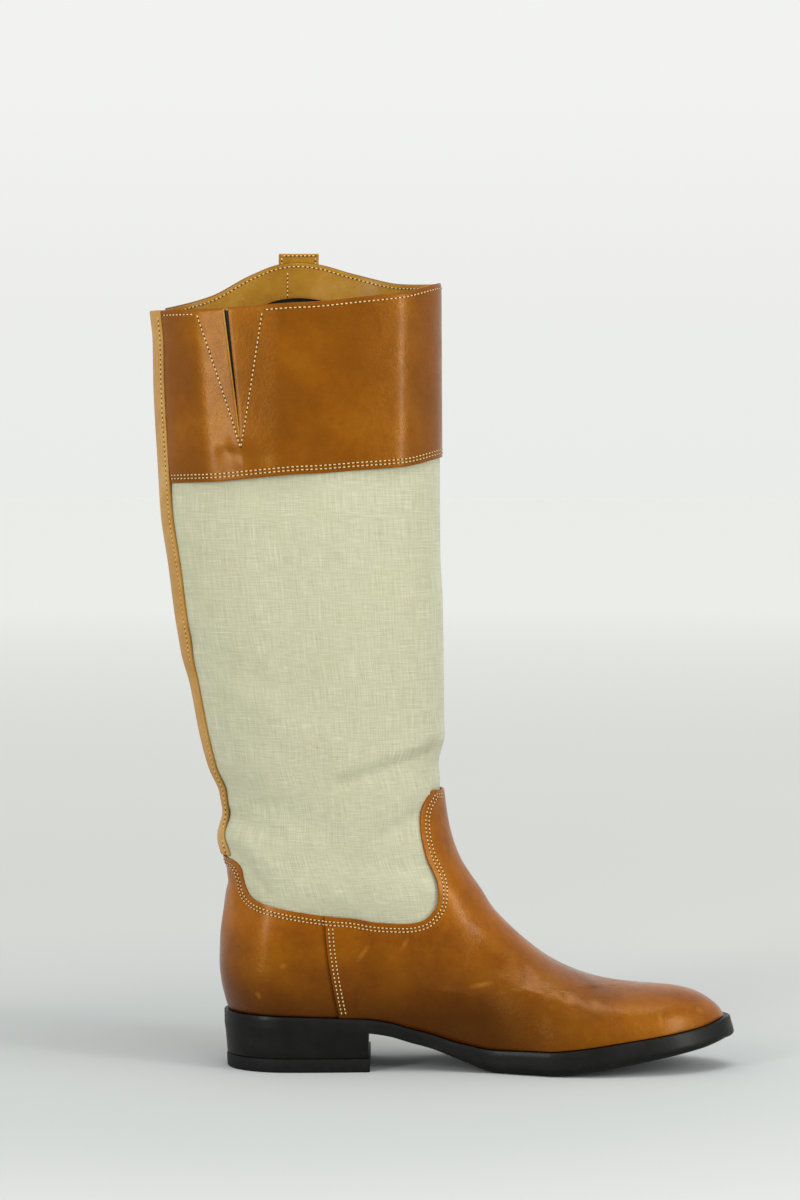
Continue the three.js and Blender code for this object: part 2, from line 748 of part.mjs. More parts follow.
function makeOutsole() {
  const bevelAt = (x) => mix(heelEdgeBevel, treadBevel, soleBevel(x / lastLength));
  const bevelTurn = (turn) => bevelAt(lastLength * shareAt(turn));
  const side = (turn) => ledgeAt(turn) + flareAt(turn);
  return loft([
    soleLoop(outlineTurns, (turn) => ledgeAt(turn), soleTop),
    soleLoop(outlineTurns, side, (x) => soleBottom(x) + bevelAt(x)),
    soleLoop(
      outlineTurns,
      (turn) => side(turn) - bevelTurn(turn) * 0.35,
      (x) => soleBottom(x) + bevelAt(x) * 0.3,
    ),
    soleLoop(outlineTurns, (turn) => side(turn) - bevelTurn(turn), soleBottom),
  ]);
}

// The turn at which the sole's edge reaches the breast of the heel.
function breastTurn(growOf, breast) {
  const find = (sign) => {
    let low = 0;
    let high = Math.PI;
    for (let i = 0; i < 40; i += 1) {
      const middle = (low + high) / 2;
      const turn = sign * middle;
      if (outline(turn, growSign * growOf(turn)).x < breast) low = middle;
      else high = middle;
    }
    return sign * low;
  };
  return [find(-1), find(1)];
}
function heelLoop(growOf, heightOf, breast) {
  const [from, to] = breastTurn(growOf, breast);
  return soleLoop(spread(30, from, to), growOf, heightOf);
}

const heelBack = backAt(seatHeight) - heelLedge;
const breastX = heelBack + heelLength;
function makeHeelBlock() {
  const inset = heelEdgeBevel / 2;
  return loft([
    heelLoop((turn) => ledgeAt(turn) - inset, (x) => soleBottom(x) - clearance, breastX),
    heelLoop(
      (turn) => ledgeAt(turn) - heelTaper + liftStep,
      () => liftThickness + clearance,
      breastX - inset,
    ),
  ]);
}
function makeTopLift() {
  const grow = (turn) => ledgeAt(turn) - heelTaper;
  return loft([
    heelLoop((turn) => grow(turn) + liftStep * 1.5, () => liftThickness, breastX + liftStep),
    heelLoop((turn) => grow(turn) + liftStep, () => liftStep, breastX + liftStep),
    heelLoop(grow, () => 0, breastX),
  ]);
}
function makeInsole() {
  const grow = () => -insoleInset;
  return loft([
    soleLoop(outlineTurns, grow, (x) => soleTop(x) + clearance),
    soleLoop(outlineTurns, grow, (x) => soleTop(x) + clearance + insoleThickness),
  ]);
}

const finishes = {
  leather: { color: "#9c6415", roughness: 0.42, metalness: 0 },
  stay: { color: "#b98a52", roughness: 0.5, metalness: 0 },
  linen: { color: "#c9c8a8", roughness: 0.9, metalness: 0 },
  elastic: { color: "#1c1c1a", roughness: 0.85, metalness: 0 },
  sole: { color: "#1d1c1a", roughness: 0.45, metalness: 0 },
  insole: { color: "#6b4a24", roughness: 0.8, metalness: 0 },
};

const boot = new THREE.Group();
function add(name, geometry, finish) {
  const mesh = new THREE.Mesh(geometry, new THREE.MeshStandardMaterial(finishes[finish]));
  mesh.name = name;
  boot.add(mesh);
}
add("outsole", makeOutsole(), "sole");
add("heel_block", makeHeelBlock(), "sole");
add("top_lift", makeTopLift(), "sole");
add("insole", makeInsole(), "insole");
add("upper", makeUpper(), "leather");
add("shaft", makeShaft(), "linen");
add("gore", makeGore(), "elastic");
add("back_stay", makeBackStay(), "stay");
add("cuff", makeCuff(), "leather");
add("pull_tab", makePullTab(), "leather");

// The heel's flat is centred on the origin.
boot.position.set(-(heelBack + breastX) / 2, 0, 0);
boot.updateMatrixWorld(true);

export default boot;
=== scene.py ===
# %% [markdown]
# # A tall riding boot with a linen shaft
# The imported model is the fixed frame: it says where the boot stands and how large it is. This
# file makes the pieces that the eye sees, on the same last as the solids, in metres.

import math

import bmesh
import bpy
import numpy as np
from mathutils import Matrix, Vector


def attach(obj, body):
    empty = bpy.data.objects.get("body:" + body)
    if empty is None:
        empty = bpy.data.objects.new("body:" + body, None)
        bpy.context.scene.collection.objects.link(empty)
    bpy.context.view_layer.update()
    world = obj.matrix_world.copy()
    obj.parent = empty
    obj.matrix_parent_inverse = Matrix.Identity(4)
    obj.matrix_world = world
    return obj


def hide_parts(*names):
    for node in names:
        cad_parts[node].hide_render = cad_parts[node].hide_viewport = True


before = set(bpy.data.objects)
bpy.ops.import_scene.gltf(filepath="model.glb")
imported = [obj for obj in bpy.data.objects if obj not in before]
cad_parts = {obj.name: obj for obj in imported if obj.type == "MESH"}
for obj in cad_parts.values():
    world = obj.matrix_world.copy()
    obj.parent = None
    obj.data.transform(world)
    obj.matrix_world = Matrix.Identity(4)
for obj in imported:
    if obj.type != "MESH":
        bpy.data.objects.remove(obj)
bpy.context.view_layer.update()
print("frame nodes", sorted(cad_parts))

# %% [markdown]
# ## Camera
# The photograph is taken with a long lens from about two metres, a little above the ankle, and
# square to the inner side of the boot. The whole height of the picture spans 652 mm there.

# %% Camera
mm = 0.001
camera_distance = 2.0
camera_height = 0.330
picture_middle = Vector((0.0563, 0.0, 0.2536))
picture_height = 0.652
sensor = 24.0

camera_data = bpy.data.cameras.new("camera")
camera = bpy.data.objects.new("camera", camera_data)
bpy.context.scene.collection.objects.link(camera)
camera.location = (picture_middle.x, -camera_distance, camera_height)
camera_data.sensor_fit = "VERTICAL"
camera_data.sensor_height = sensor
camera_data.lens = sensor * camera_distance / picture_height
camera.rotation_euler = (picture_middle - camera.location).to_track_quat("-Z", "Y").to_euler()
bpy.context.scene.camera = camera
bpy.context.scene.view_settings.view_transform = "Standard"  # keeps the dye's full colour
print("lens", round(camera_data.lens, 1))

# %% [markdown]
# ## The last
# A shoemaker builds on a last, a solid foot that gives every piece its curve. Here the last is a
# function: a place in the side view (x along the foot, z up, in millimetres) gives the place
# across. Its tables are the same as in the solids, so leather and frame agree.

# %% Sizes of the boot, in millimetres
last_length, ball_width, heel_width = 271.7, 91.0, 60.0
seat_height, toe_spring, toe_swing = 31.1, 17.0, 5.0
throat_height, leg_front, calf_reach = 151.0, 119.5, 37.4
ankle_height, ankle_width, leg_width, boot_height = 112.0, 69.0, 87.0, 425.4
waist_thickness, ball_thickness = 7.2, 13.0
heel_ledge, side_ledge, toe_ledge, toe_flare = 2.0, 2.6, 3.4, 2.2
tread_bevel, heel_edge_bevel = 4.2, 0.12
heel_length, heel_taper, lift_thickness, lift_step = 79.0, 2.2, 7.5, 0.6
seat_gap, cuff_height, stay_width = 0.45, 93.0, 34.0
INNER, OUTER = -1, 1  # the sides of a left boot in Y


# %% Curves through tables
def table(names, rows):
    return {name: np.array(column, float) for name, column in zip(names.split(), zip(*rows))}


def curve(columns, source, target):
    """A smooth curve through a table's rows that never overshoots them."""
    xs, ys = columns[source], columns[target]
    slopes = np.diff(ys) / np.diff(xs)
    product, total = slopes[:-1] * slopes[1:], slopes[:-1] + slopes[1:]
    inner = np.where(product > 0, 2 * product / np.where(total == 0, 1, total), 0)
    tangents = np.concatenate([slopes[:1], inner, slopes[-1:]])

    def read(value):
        value = np.clip(value, xs[0], xs[-1])
        i = np.clip(np.searchsorted(xs, value, side="right") - 1, 0, len(xs) - 2)
        step = xs[i + 1] - xs[i]
        t = (value - xs[i]) / step
        s = 1 - t
        ends = s * s * (1 + 2 * t) * ys[i] + t * t * (1 + 2 * s) * ys[i + 1]
        return ends + step * s * t * (s * tangents[i] - t * tangents[i + 1])

    return read


def mix(a, b, t):
    return a + (b - a) * t


def smooth(start, end, value):
    t = np.clip((value - start) / (end - start), 0, 1)
    return t * t * (3 - 2 * t)


def round_end(depth):
    a = np.clip(depth, 0, 1)
    return np.sqrt(a * (2 - a))


# %% Side view of the sole
sole_rows = table("at heel toe full bevel", [
    (0, 1, 0, 0, 0), (0.143, 0.958, 0, 0, 0), (0.283, 0.895, 0, 0, 0),
    (0.327, 0.82, 0, 0, 0.05), (0.368, 0.678, 0, 0.03, 0.1), (0.412, 0.535, 0, 0.06, 0.18),
    (0.452, 0.36, 0, 0.18, 0.35), (0.491, 0.184, 0, 0.5, 0.6), (0.518, 0.06, 0, 0.76, 0.85),
    (0.544, 0, 0, 0.91, 1), (0.64, 0, 0, 1, 1), (0.68, 0, 0.045, 1.02, 1),
    (0.75, 0, 0.2, 1, 1), (0.81, 0, 0.36, 0.9, 0.95), (0.865, 0, 0.52, 0.78, 0.85),
    (0.915, 0, 0.67, 0.68, 0.75), (0.955, 0, 0.8, 0.63, 0.65), (1, 0, 1, 0.64, 0.6),
])
heel_lift = curve(sole_rows, "at", "heel")
toe_lift = curve(sole_rows, "at", "toe")
sole_full = curve(sole_rows, "at", "full")
sole_bevel = curve(sole_rows, "at", "bevel")


def sole_bottom(x):
    at = x / last_length
    return (seat_height - waist_thickness) * heel_lift(at) + toe_spring * toe_lift(at)


def sole_top(x):
    return sole_bottom(x) + mix(waist_thickness, ball_thickness, sole_full(x / last_length))


toe_height = float(sole_top(last_length))

# %% Side view of the upper
back_rows = table("up out", [
    (0, -0.043), (0.018, 0.011), (0.041, 0.064), (0.065, 0.086), (0.102, 0.075),
    (0.142, 0.021), (0.179, -0.021), (0.213, 0.037), (0.236, 0.07), (0.272, 0.005),
    (0.299, 0.043), (0.334, 0.195), (0.378, 0.32), (0.452, 0.473), (0.492, 0.596),
    (0.542, 0.684), (0.612, 0.778), (0.684, 0.888), (0.742, 0.925), (0.867, 0.992),
    (0.919, 1), (0.962, 1.043),
])
vamp_rows = table("up along", [
    (0, 1), (0.033, 0.984), (0.069, 0.951), (0.104, 0.902), (0.128, 0.828), (0.138, 0.729),
    (0.147, 0.631), (0.165, 0.54), (0.201, 0.45), (0.247, 0.376), (0.313, 0.302),
    (0.385, 0.236), (0.471, 0.17), (0.554, 0.128), (0.622, 0.09), (0.689, 0.058),
    (0.775, 0.032), (0.857, 0.016), (0.929, 0.007),
])
shin_rows = table("up out", [
    (0, 1), (0.051, 0.985), (0.093, 1.005), (0.168, 1.009), (0.38, 1.002), (0.463, 0.992),
    (0.657, 0.989), (1, 0.985),
])
front_rows = {
    "z": np.concatenate([
        mix(toe_height, throat_height, vamp_rows["up"]),
        mix(throat_height, boot_height, shin_rows["up"]),
    ]),
    "x": np.concatenate([
        mix(leg_front, last_length, vamp_rows["along"]),
        leg_front * shin_rows["out"],
    ]),
}
back_out = curve(back_rows, "up", "out")
front_at = curve(front_rows, "z", "x")
ridge_heights = np.linspace(toe_height, throat_height, 4000)
ridge_places = front_at(ridge_heights)


def back_at(z):
    return -calf_reach * back_out((z - seat_height) / (boot_height - seat_height))


def ridge_at(x):
    """Height of the vamp's ridge above a place along the foot."""
    return np.interp(x, ridge_places[::-1], ridge_heights[::-1])


# %% Widths of the last
plan_rows = table("at low_in low_out body_in body_out", [
    (0, 1, 1, 1.07, 1.07), (0.13, 1, 1, 1.08, 1.08), (0.27, 0.95, 1, 1.03, 1.08),
    (0.36, 0.82, 0.98, 0.98, 1.08), (0.44, 0.69, 0.9, 0.88, 1), (0.52, 0.69, 0.89, 0.85, 0.96),
    (0.6, 0.81, 0.955, 0.91, 1), (0.67, 0.935, 0.98, 0.98, 1.02),
    (0.73, 0.945, 0.935, 0.99, 0.97), (0.8, 0.86, 0.84, 0.89, 0.86),
    (0.87, 0.75, 0.735, 0.76, 0.745), (0.93, 0.68, 0.67, 0.69, 0.68), (1, 0.64, 0.63, 0.64, 0.63),
])
leg_rows = table("up full", [
    (0, 0), (0.12, 0.14), (0.28, 0.5), (0.44, 0.78), (0.665, 0.94), (1, 1),
])
leg_full = curve(leg_rows, "up", "full")
plan_curves = {name: curve(plan_rows, "at", name) for name in plan_rows if name != "at"}
body_height = seat_height + 17


def leg_half(z):
    up = (z - ankle_height) / (boot_height - ankle_height)
    return mix(ankle_width, leg_width, leg_full(up)) / 2


def foot_half(x, level, side):
    at = x / last_length
    local = mix(heel_width, ball_width, smooth(0.3, 0.6, at)) / 2
    inner, outer = plan_curves[level + "_in"](at), plan_curves[level + "_out"](at)
    return local * np.where(side == INNER, inner, outer) * round_end((1 - at) / 0.155)


def full_half(x, z, side):
    body = foot_half(x, "body", side)
    rise = np.clip((z - sole_top(x)) / (body_height - sole_top(x)), 0, 1)
    below = mix(foot_half(x, "low", side), body, np.sin(rise * math.pi / 2))
    above = mix(body, leg_half(z), smooth(body_height, ankle_height, z))
    return np.where(z >= body_height, above, below)


def back_rounding(z):
    leg = (front_at(z) - back_at(z)) / 2
    return mix(heel_width * 0.55, leg, smooth(body_height, throat_height, z))


def front_closing(x, z):
    ahead = front_at(z) - x
    leg = (front_at(z) - back_at(z)) / 2
    foot_share = smooth(leg_front, leg_front + 30, x)
    on_leg = (z >= throat_height) | (foot_share <= 0)
    share = np.where(on_leg, 1, foot_share)
    above = np.maximum(0, ridge_at(x) - z) / share
    dome = 0.95 * np.maximum(0.01, ridge_at(x) - sole_top(x)) / share
    depth = ahead * above / np.maximum(1e-6, np.hypot(ahead, above))
    foot = depth / (leg**-4 + dome**-4) ** -0.25
    return round_end(np.where(on_leg, ahead / leg, foot))


def axis_at(x):
    return -toe_swing * smooth(0.4 * last_length, last_length * 1.05, x)


def across(x, z, side):
    back_closing = round_end((x - back_at(z)) / back_rounding(z))
    return axis_at(x) + side * full_half(x, z, side) * back_closing * front_closing(x, z)


print("half width at the ball", round(float(-across(np.array(190.0), np.array(24.0), INNER)), 1))


# %% [markdown]
# ## Laying a flat panel on the last
# Each leather or linen piece starts flat, as a cut panel does: a grid whose UV map is the panel
# in millimetres. Its points are then laid on the last, pushed out or in along the surface, and a
# Solidify modifier gives the leather its substance. Subdividing a box could not give this curve.

# %% Surfaces of the last
def depth_share(x, z):
    return (x - back_at(z)) / (front_at(z) - back_at(z))


def even_share(c):
    return (1 - np.cos(np.pi * c)) / 2


def side_of(turn):
    return np.where(np.sin(turn) >= 0, INNER, OUTER)


def share_at(turn):
    """How far a turn round the boot has come from back to front, as a share."""
    return (1 - np.cos(turn)) / 2


def turn_parts(turn):
    """A turn as a share of half a round, counted from the back, and its side."""
    return np.arccos(np.clip(np.cos(turn), -1, 1)) / np.pi, side_of(turn)


def ruled_surface(low, high, pacing):
    def surface(turn, rise):
        c, side = turn_parts(turn)
        low_x, low_z = low(c, side)
        high_x, high_z = high(c, side)
        step = mix(rise, pacing(rise), smooth(0.4, 1, c))
        z = mix(low_z, high_z, step)
        share = np.clip(mix(depth_share(low_x, low_z), depth_share(high_x, high_z), step), 0, 1)
        x = mix(back_at(z), front_at(z), share)
        on_axis = (c < 1e-9) | (c > 1 - 1e-9)
        return np.stack([x, np.where(on_axis, axis_at(x), across(x, z, side)), z], -1)

    return surface


def level_surface(turn, z):
    """The last read by turn and height."""
    c, side = turn_parts(turn)
    share = even_share(c)
    x = mix(back_at(z), front_at(z), share)
    on_axis = (c < 1e-9) | (c > 1 - 1e-9)
    return np.stack([x, np.where(on_axis, axis_at(x), across(x, z, side)), z], -1)


def normals_of(surface, u, v, nudge=1e-3):
    along_u = surface(u + nudge, v) - surface(u - nudge, v)
    high, low = np.minimum(1, v + nudge), np.maximum(0, v - nudge)
    if np.max(v) > 1:  # here v is a height in millimetres, not a share
        high, low = v + 0.2, v - 0.2
    normal = np.cross(along_u, surface(u, high) - surface(u, low))
    return normal / np.maximum(1e-12, np.linalg.norm(normal, axis=-1, keepdims=True))


def paced_line(places):
    """A line through chosen places (x, z), walked at an even pace over the last."""
    columns = table("x z", places)
    columns["i"] = np.arange(len(places), dtype=float)
    dense = np.linspace(0, len(places) - 1, (len(places) - 1) * 8 + 1)
    x, z = curve(columns, "i", "x")(dense), curve(columns, "i", "z")(dense)
    y = across(x, z, np.full_like(x, INNER))
    steps = np.sqrt(np.diff(x) ** 2 + np.diff(y) ** 2 + (0.4 * np.diff(z)) ** 2)
    pace = np.concatenate([[0], np.cumsum(steps)])
    rows = {"pace": pace / pace[-1], "x": x, "z": z}
    to_x, to_z = curve(rows, "pace", "x"), curve(rows, "pace", "z")
    return lambda c, side=None: (to_x(c), to_z(c))


# %% Topline, tuck and rim
topline_rows = [
    (0.05, 0.744), (0.08, 0.715), (0.092, 0.665), (0.114, 0.63), (0.17, 0.606), (0.282, 0.585),
    (0.46, 0.563), (0.575, 0.555), (0.706, 0.538), (0.82, 0.534), (0.9, 0.543), (0.944, 0.57),
    (0.969, 0.603), (0.973, 0.64), (0.968, 0.675), (0.949, 0.715), (0.925, 0.755),
    (0.905, 0.811), (0.894, 0.865), (0.893, 0.9), (0.905, 0.946), (0.929, 0.98), (0.958, 1.003),
]
stay_foot = 0.762 * throat_height
topline_places = [(float(back_at(stay_foot)), stay_foot)]
topline_places += [(leg_front * along, throat_height * up) for along, up in topline_rows]
topline_places += [(float(front_at(throat_height)), throat_height)]


def beside(places, gap):
    """The line moved down and forward, under the leather, by a gap in the side view."""
    moved = []
    for i, (x, z) in enumerate(places):
        (bx, bz), (ax, az) = places[max(0, i - 1)], places[min(len(places) - 1, i + 1)]
        length = math.hypot(ax - bx, az - bz)
        moved.append((x + gap * (az - bz) / length, z - gap * (ax - bx) / length))
    first, last = stay_foot - gap, throat_height - gap
    moved[0] = (float(back_at(first)), first)
    moved[-1] = (float(front_at(last)), last)
    return moved


rim_rows = table("at inner outer", [
    (0, 0.964, 0.966), (0.19, 0.964, 0.987), (0.33, 0.967, 1.015), (0.44, 0.97, 1.03),
    (0.5, 0.9715, 1.032), (0.56, 0.9725, 1.03), (0.7, 0.978, 1.016), (0.87, 0.986, 1.002),
    (1, 1, 1),
])
rim_inner, rim_outer = curve(rim_rows, "at", "inner"), curve(rim_rows, "at", "outer")


def rim_height(at, side):
    return boot_height * np.where(side == INNER, rim_inner(at), rim_outer(at))


def rim_line(drop):
    def line(c, side):
        at = even_share(c)
        z = rim_height(at, side) - drop
        return mix(back_at(z), front_at(z), at), z

    return line


def meet_feather(line_at, x):
    for _ in range(30):
        x = float(line_at(sole_top(min(max(x, 0), last_length)) + seat_gap))
    return x


seat_x, toe_x = meet_feather(back_at, 0.0), meet_feather(front_at, last_length)


def feather_line(c, side=None):
    x = mix(seat_x, toe_x, even_share(c))
    return x, sole_top(np.clip(x, 0, last_length)) + seat_gap


walked = np.concatenate([[0], np.cumsum(np.hypot(np.diff(front_rows["z"][:20]),
                                                 np.diff(front_rows["x"][:20])))])
ridge_up = curve({"walked": walked / walked[-1],
                  "up": (front_rows["z"][:20] - toe_height) / (throat_height - toe_height)},
                 "walked", "up")
foot_surface = ruled_surface(feather_line, paced_line(topline_places), ridge_up)
shaft_surface = ruled_surface(paced_line(beside(topline_places, 8.0)), rim_line(1.2), lambda r: r)
print("topline at the shin", round(topline_places[-1][1], 1), "mm")

# %% [markdown]
# ## Creases and dents
# Worn leather folds where the foot bends, and soft linen sags at the ankle. Noise would crease
# the boot everywhere alike, and a sculpted fold can't be read back from a script. So each fold is
# a soft trough or ridge between two places of the side view, with a width and a height in
# millimetres.

# %% Relief rows: start, end, width, height, side (0 is both)
foot_relief = [
    (132, 96, 186, 52, 17, 0.7, 0), (136, 60, 150, 55, 4, -0.4, 0), (150, 50, 168, 38, 7, 0.6, -1),
    (162, 56, 172, 32, 3.0, -0.35, 0), (174, 46, 182, 29, 2.6, -0.4, 0),
    (184, 43, 196, 25, 2.4, -0.45, 0), (196, 42, 206, 23, 2.4, -0.4, 0),
    (179, 38, 189, 33, 1.6, -0.3, -1), (190, 36, 201, 30, 1.6, -0.3, -1),
    (176, 42, 190, 34, 7, 0.6, -1), (200, 40, 214, 34, 6, 0.4, -1),
    (22, 78, 26, 55, 9, 0.7, -1), (34, 62, 40, 48, 4, -0.6, -1), (2, 108, 12, 90, 3, -0.9, 0),
    (-1, 100, 12, 101, 3, -0.7, 0), (110, 40, 128, 30, 9, -0.8, -1), (84, 62, 108, 54, 10, 0.5, -1),
    (68, 44, 80, 70, 9, -0.4, 1), (150, 44, 176, 34, 8, 0.7, 1),
]
shaft_relief = [
    (64, 157, 114, 173, 3.2, -1.3, 0), (70, 164, 116, 180, 6, 0.9, 0), (2, 138, 30, 128, 4, -1.0, 0),
    (2, 127, 26, 113, 4, 0.7, 0), (4, 146, 34, 152, 6, 0.6, 0), (4, 118, 22, 100, 3, -0.8, 0),
    (8, 150, 60, 128, 7, -0.9, -1), (20, 110, 60, 96, 8, 0.7, -1), (-24, 318, -6, 120, 7, 0.9, -1),
    (96, 320, 100, 150, 9, 0.8, -1), (30, 320, 40, 200, 14, -0.9, -1), (64, 300, 74, 180, 12, 0.7, -1),
    (10, 205, 60, 175, 9, 0.7, 0), (60, 118, 108, 108, 7, -0.7, 0), (20, 250, 70, 262, 12, -0.6, 1),
    (0, 190, 50, 160, 8, -1.0, 1), (86, 128, 120, 146, 5, -1.0, 0), (-18, 232, 14, 214, 7, -0.8, 0),
]
cuff_relief = [
    (-14, 404, -6, 324, 7, 0.9, -1), (32, 412, 33, 326, 8, 0.7, -1), (97, 416, 96, 330, 8, 1.0, -1),
    (62, 410, 64, 330, 16, -0.7, -1), (9, 338, 13, 328, 5, 0.8, -1), (3, 334, 22, 331, 3, -0.5, -1),
    (10, 408, 24, 330, 14, -0.6, 1), (80, 420, 84, 330, 12, 0.6, 1), (-30, 330, 20, 340, 9, 0.4, 0),
]
print("relief rows", len(foot_relief), len(shaft_relief), len(cuff_relief))


def relief(rows, x, z, side):
    total = np.zeros_like(x)
    for x0, z0, x1, z1, width, height, where in rows:
        length = math.hypot(x1 - x0, z1 - z0)
        along = ((x - x0) * (x1 - x0) + (z - z0) * (z1 - z0)) / length**2
        away = ((x - x0) * (z1 - z0) - (z - z0) * (x1 - x0)) / length
        past = np.maximum(0, np.abs(along - 0.5) - 0.5) * length
        shape = np.exp(-((away / width) ** 2)) * np.exp(-((past / (1.4 * width)) ** 2))
        total += height * shape * (1.0 if where == 0 else np.where(side == where, 1, 0))
    return total


# %% Laying a panel
def deselect():
    bpy.ops.object.select_all(action="DESELECT")


def pick(piece):
    """Makes a piece the only one selected."""
    deselect()
    piece.select_set(True)
    bpy.context.view_layer.objects.active = piece


def give_substance(piece, thickness, lip):
    """The leather's thickness, its rounded cut edges and its shading."""
    if thickness:
        wall = piece.modifiers.new("substance", "SOLIDIFY")
        wall.thickness, wall.offset = thickness * mm, -1
        wall.material_offset_rim = 1
        bpy.ops.object.modifier_apply(modifier=wall.name)
    if lip:
        edge = piece.modifiers.new("skived edge", "BEVEL")
        edge.width, edge.segments, edge.limit_method = lip * mm, 2, "ANGLE"
        edge.angle_limit = math.radians(60)
        bpy.ops.object.modifier_apply(modifier=edge.name)
    bpy.ops.object.shade_smooth_by_angle(angle=math.radians(50))


def lay_panel(name, place, columns, rows, size, thickness, ring=False, lip=0.0):
    """A flat grid laid on the last: `place` turns shares (u, v) into points."""
    deselect()
    bpy.ops.mesh.primitive_grid_add(x_subdivisions=columns, y_subdivisions=rows, size=1)
    piece = bpy.context.object
    piece.name = piece.data.name = name
    mesh = piece.data
    flat = np.empty(len(mesh.vertices) * 3, np.float32)
    mesh.vertices.foreach_get("co", flat)
    flat = flat.reshape(-1, 3).astype(float)
    points = place(flat[:, 0] + 0.5, flat[:, 1] + 0.5)
    mesh.vertices.foreach_set("co", (points * mm).astype(np.float32).ravel())
    cut = np.empty(len(mesh.loops) * 2, np.float32)
    mesh.uv_layers.active.data.foreach_get("uv", cut)
    cut = cut.reshape(-1, 2) * np.array(size, np.float32) / 100.0
    mesh.uv_layers.active.data.foreach_set("uv", cut.ravel())
    if ring:
        bpy.ops.object.mode_set(mode="EDIT")
        bpy.ops.mesh.select_all(action="SELECT")
        bpy.ops.mesh.remove_doubles(threshold=1e-5)
        bpy.ops.object.mode_set(mode="OBJECT")
    give_substance(piece, thickness, lip)
    print(name, len(mesh.polygons), "faces")
    return piece


def finish_piece(piece, slot, *nodes, materials=()):
    """Materials, a clean transform and the root body for each piece, and hides the nodes it replaces.
    """
    for material in materials:
        piece.data.materials.append(material)
    pick(piece)
    bpy.ops.object.transform_apply(location=True, rotation=True, scale=True)
    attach(piece, "root")
    if nodes:
        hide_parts(*nodes)
    return piece


# The frame's origin is the middle of the heel's flat.
heel_back = float(back_at(seat_height)) - heel_ledge
breast_x = heel_back + heel_length
shift = np.array([(heel_back + breast_x) / 2, 0, 0])


def outward_normals(surface, turn, v, points):
    """Normals that point away from the middle of the leg or foot at their height."""
    normals = normals_of(surface, turn, v)
    x, y, z = points.T
    away = normals[:, 0] * (x - (back_at(z) + front_at(z)) / 2) + normals[:, 1] * (y - axis_at(x))
    return normals * np.where(away < 0, -1, 1)[:, None]


def laid(surface, turn, v, lift, rows=()):
    """Points of a surface pushed out by `lift` and by the relief."""
    points = surface(turn, v)
    side = side_of(turn)
    near_axis = np.minimum(np.abs(np.sin(turn)) * 8, 1)
    height = relief(rows, points[:, 0], points[:, 2], side)
    both = (height + relief(rows, points[:, 0], points[:, 2], -side)) / 2
    push = lift + mix(both, height, near_axis)
    return points + outward_normals(surface, turn, v, points) * push[:, None] - shift


# %% [markdown]
# ## Materials
# Each finish is a Principled shader fed by noise whose size is in metres. Picture textures would
# bring the photograph's own light along. These helpers turn sRGB hex colours to linear, add a
# node, and spell the ramps, ranges and bumps that the finishes share.

# %% Node helpers
def linear(code):
    parts = [int(code[i:i + 2], 16) / 255 for i in (1, 3, 5)]
    return tuple(c / 12.92 if c <= 0.04045 else ((c + 0.055) / 1.055) ** 2.4 for c in parts) + (1,)


def node(tree, kind, settings=None, inputs=None):
    """Adds a node, sets its options, and fills its sockets with values or links."""
    made = tree.nodes.new(kind)
    for key, value in (settings or {}).items():
        setattr(made, key, value)
    for key, value in (inputs or {}).items():
        socket = made.inputs[key]
        if isinstance(value, bpy.types.NodeSocket):
            tree.links.new(value, socket)
        else:
            socket.default_value = value
    return made


def new_material(name, **shader_inputs):
    material = bpy.data.materials.new(name)
    material.use_nodes = True
    tree = material.node_tree
    shader = tree.nodes["Principled BSDF"]
    for key, value in shader_inputs.items():
        shader.inputs[key.replace("_", " ")].default_value = value
    return material, tree, shader


def ramp(tree, factor, *stops):
    made = node(tree, "ShaderNodeValToRGB", inputs={"Fac": factor})
    elements = made.color_ramp.elements
    while len(elements) < len(stops):
        elements.new(0.5)
    for element, (place, code) in zip(elements, stops):
        element.position, element.color = place, linear(code)
    return made.outputs["Color"]


def noise(tree, vector, size, detail=3.0, roughness=0.55):
    """Noise whose grains are `size` metres across."""
    made = node(tree, "ShaderNodeTexNoise", inputs={
        "Vector": vector, "Scale": 1 / size, "Detail": detail, "Roughness": roughness})
    return made.outputs["Fac"]


def mixed(tree, factor, a, b):
    made = node(tree, "ShaderNodeMix", {"data_type": "RGBA"})
    sockets = {"Factor": made.inputs[0], "A": made.inputs[6], "B": made.inputs[7]}
    for key, value in (("Factor", factor), ("A", a), ("B", b)):
        if isinstance(value, bpy.types.NodeSocket):
            tree.links.new(value, sockets[key])
        else:
            sockets[key].default_value = value
    return made.outputs[2]


def math_node(tree, operation, *values):
    made = node(tree, "ShaderNodeMath", {"operation": operation})
    for i, value in enumerate(values):
        if isinstance(value, bpy.types.NodeSocket):
            tree.links.new(value, made.inputs[i])
        else:
            made.inputs[i].default_value = value
    return made.outputs[0]


def times(tree, value, factor):
    return math_node(tree, "MULTIPLY", value, factor)


def coordinates(tree, kind):
    return node(tree, "ShaderNodeTexCoord").outputs[kind]


def ranged(tree, value, low, high, to_low, to_high):
    """A value carried from one range to another, held at both ends."""
    made = node(tree, "ShaderNodeMapRange", inputs={
        "Value": value, "From Min": low, "From Max": high, "To Min": to_low, "To Max": to_high})
    return made.outputs["Result"]


def bumped(tree, height, strength, depth, **more):
    made = node(tree, "ShaderNodeBump", inputs={
        "Height": height, "Strength": strength, "Distance": depth, **more})
    return made.outputs[0]
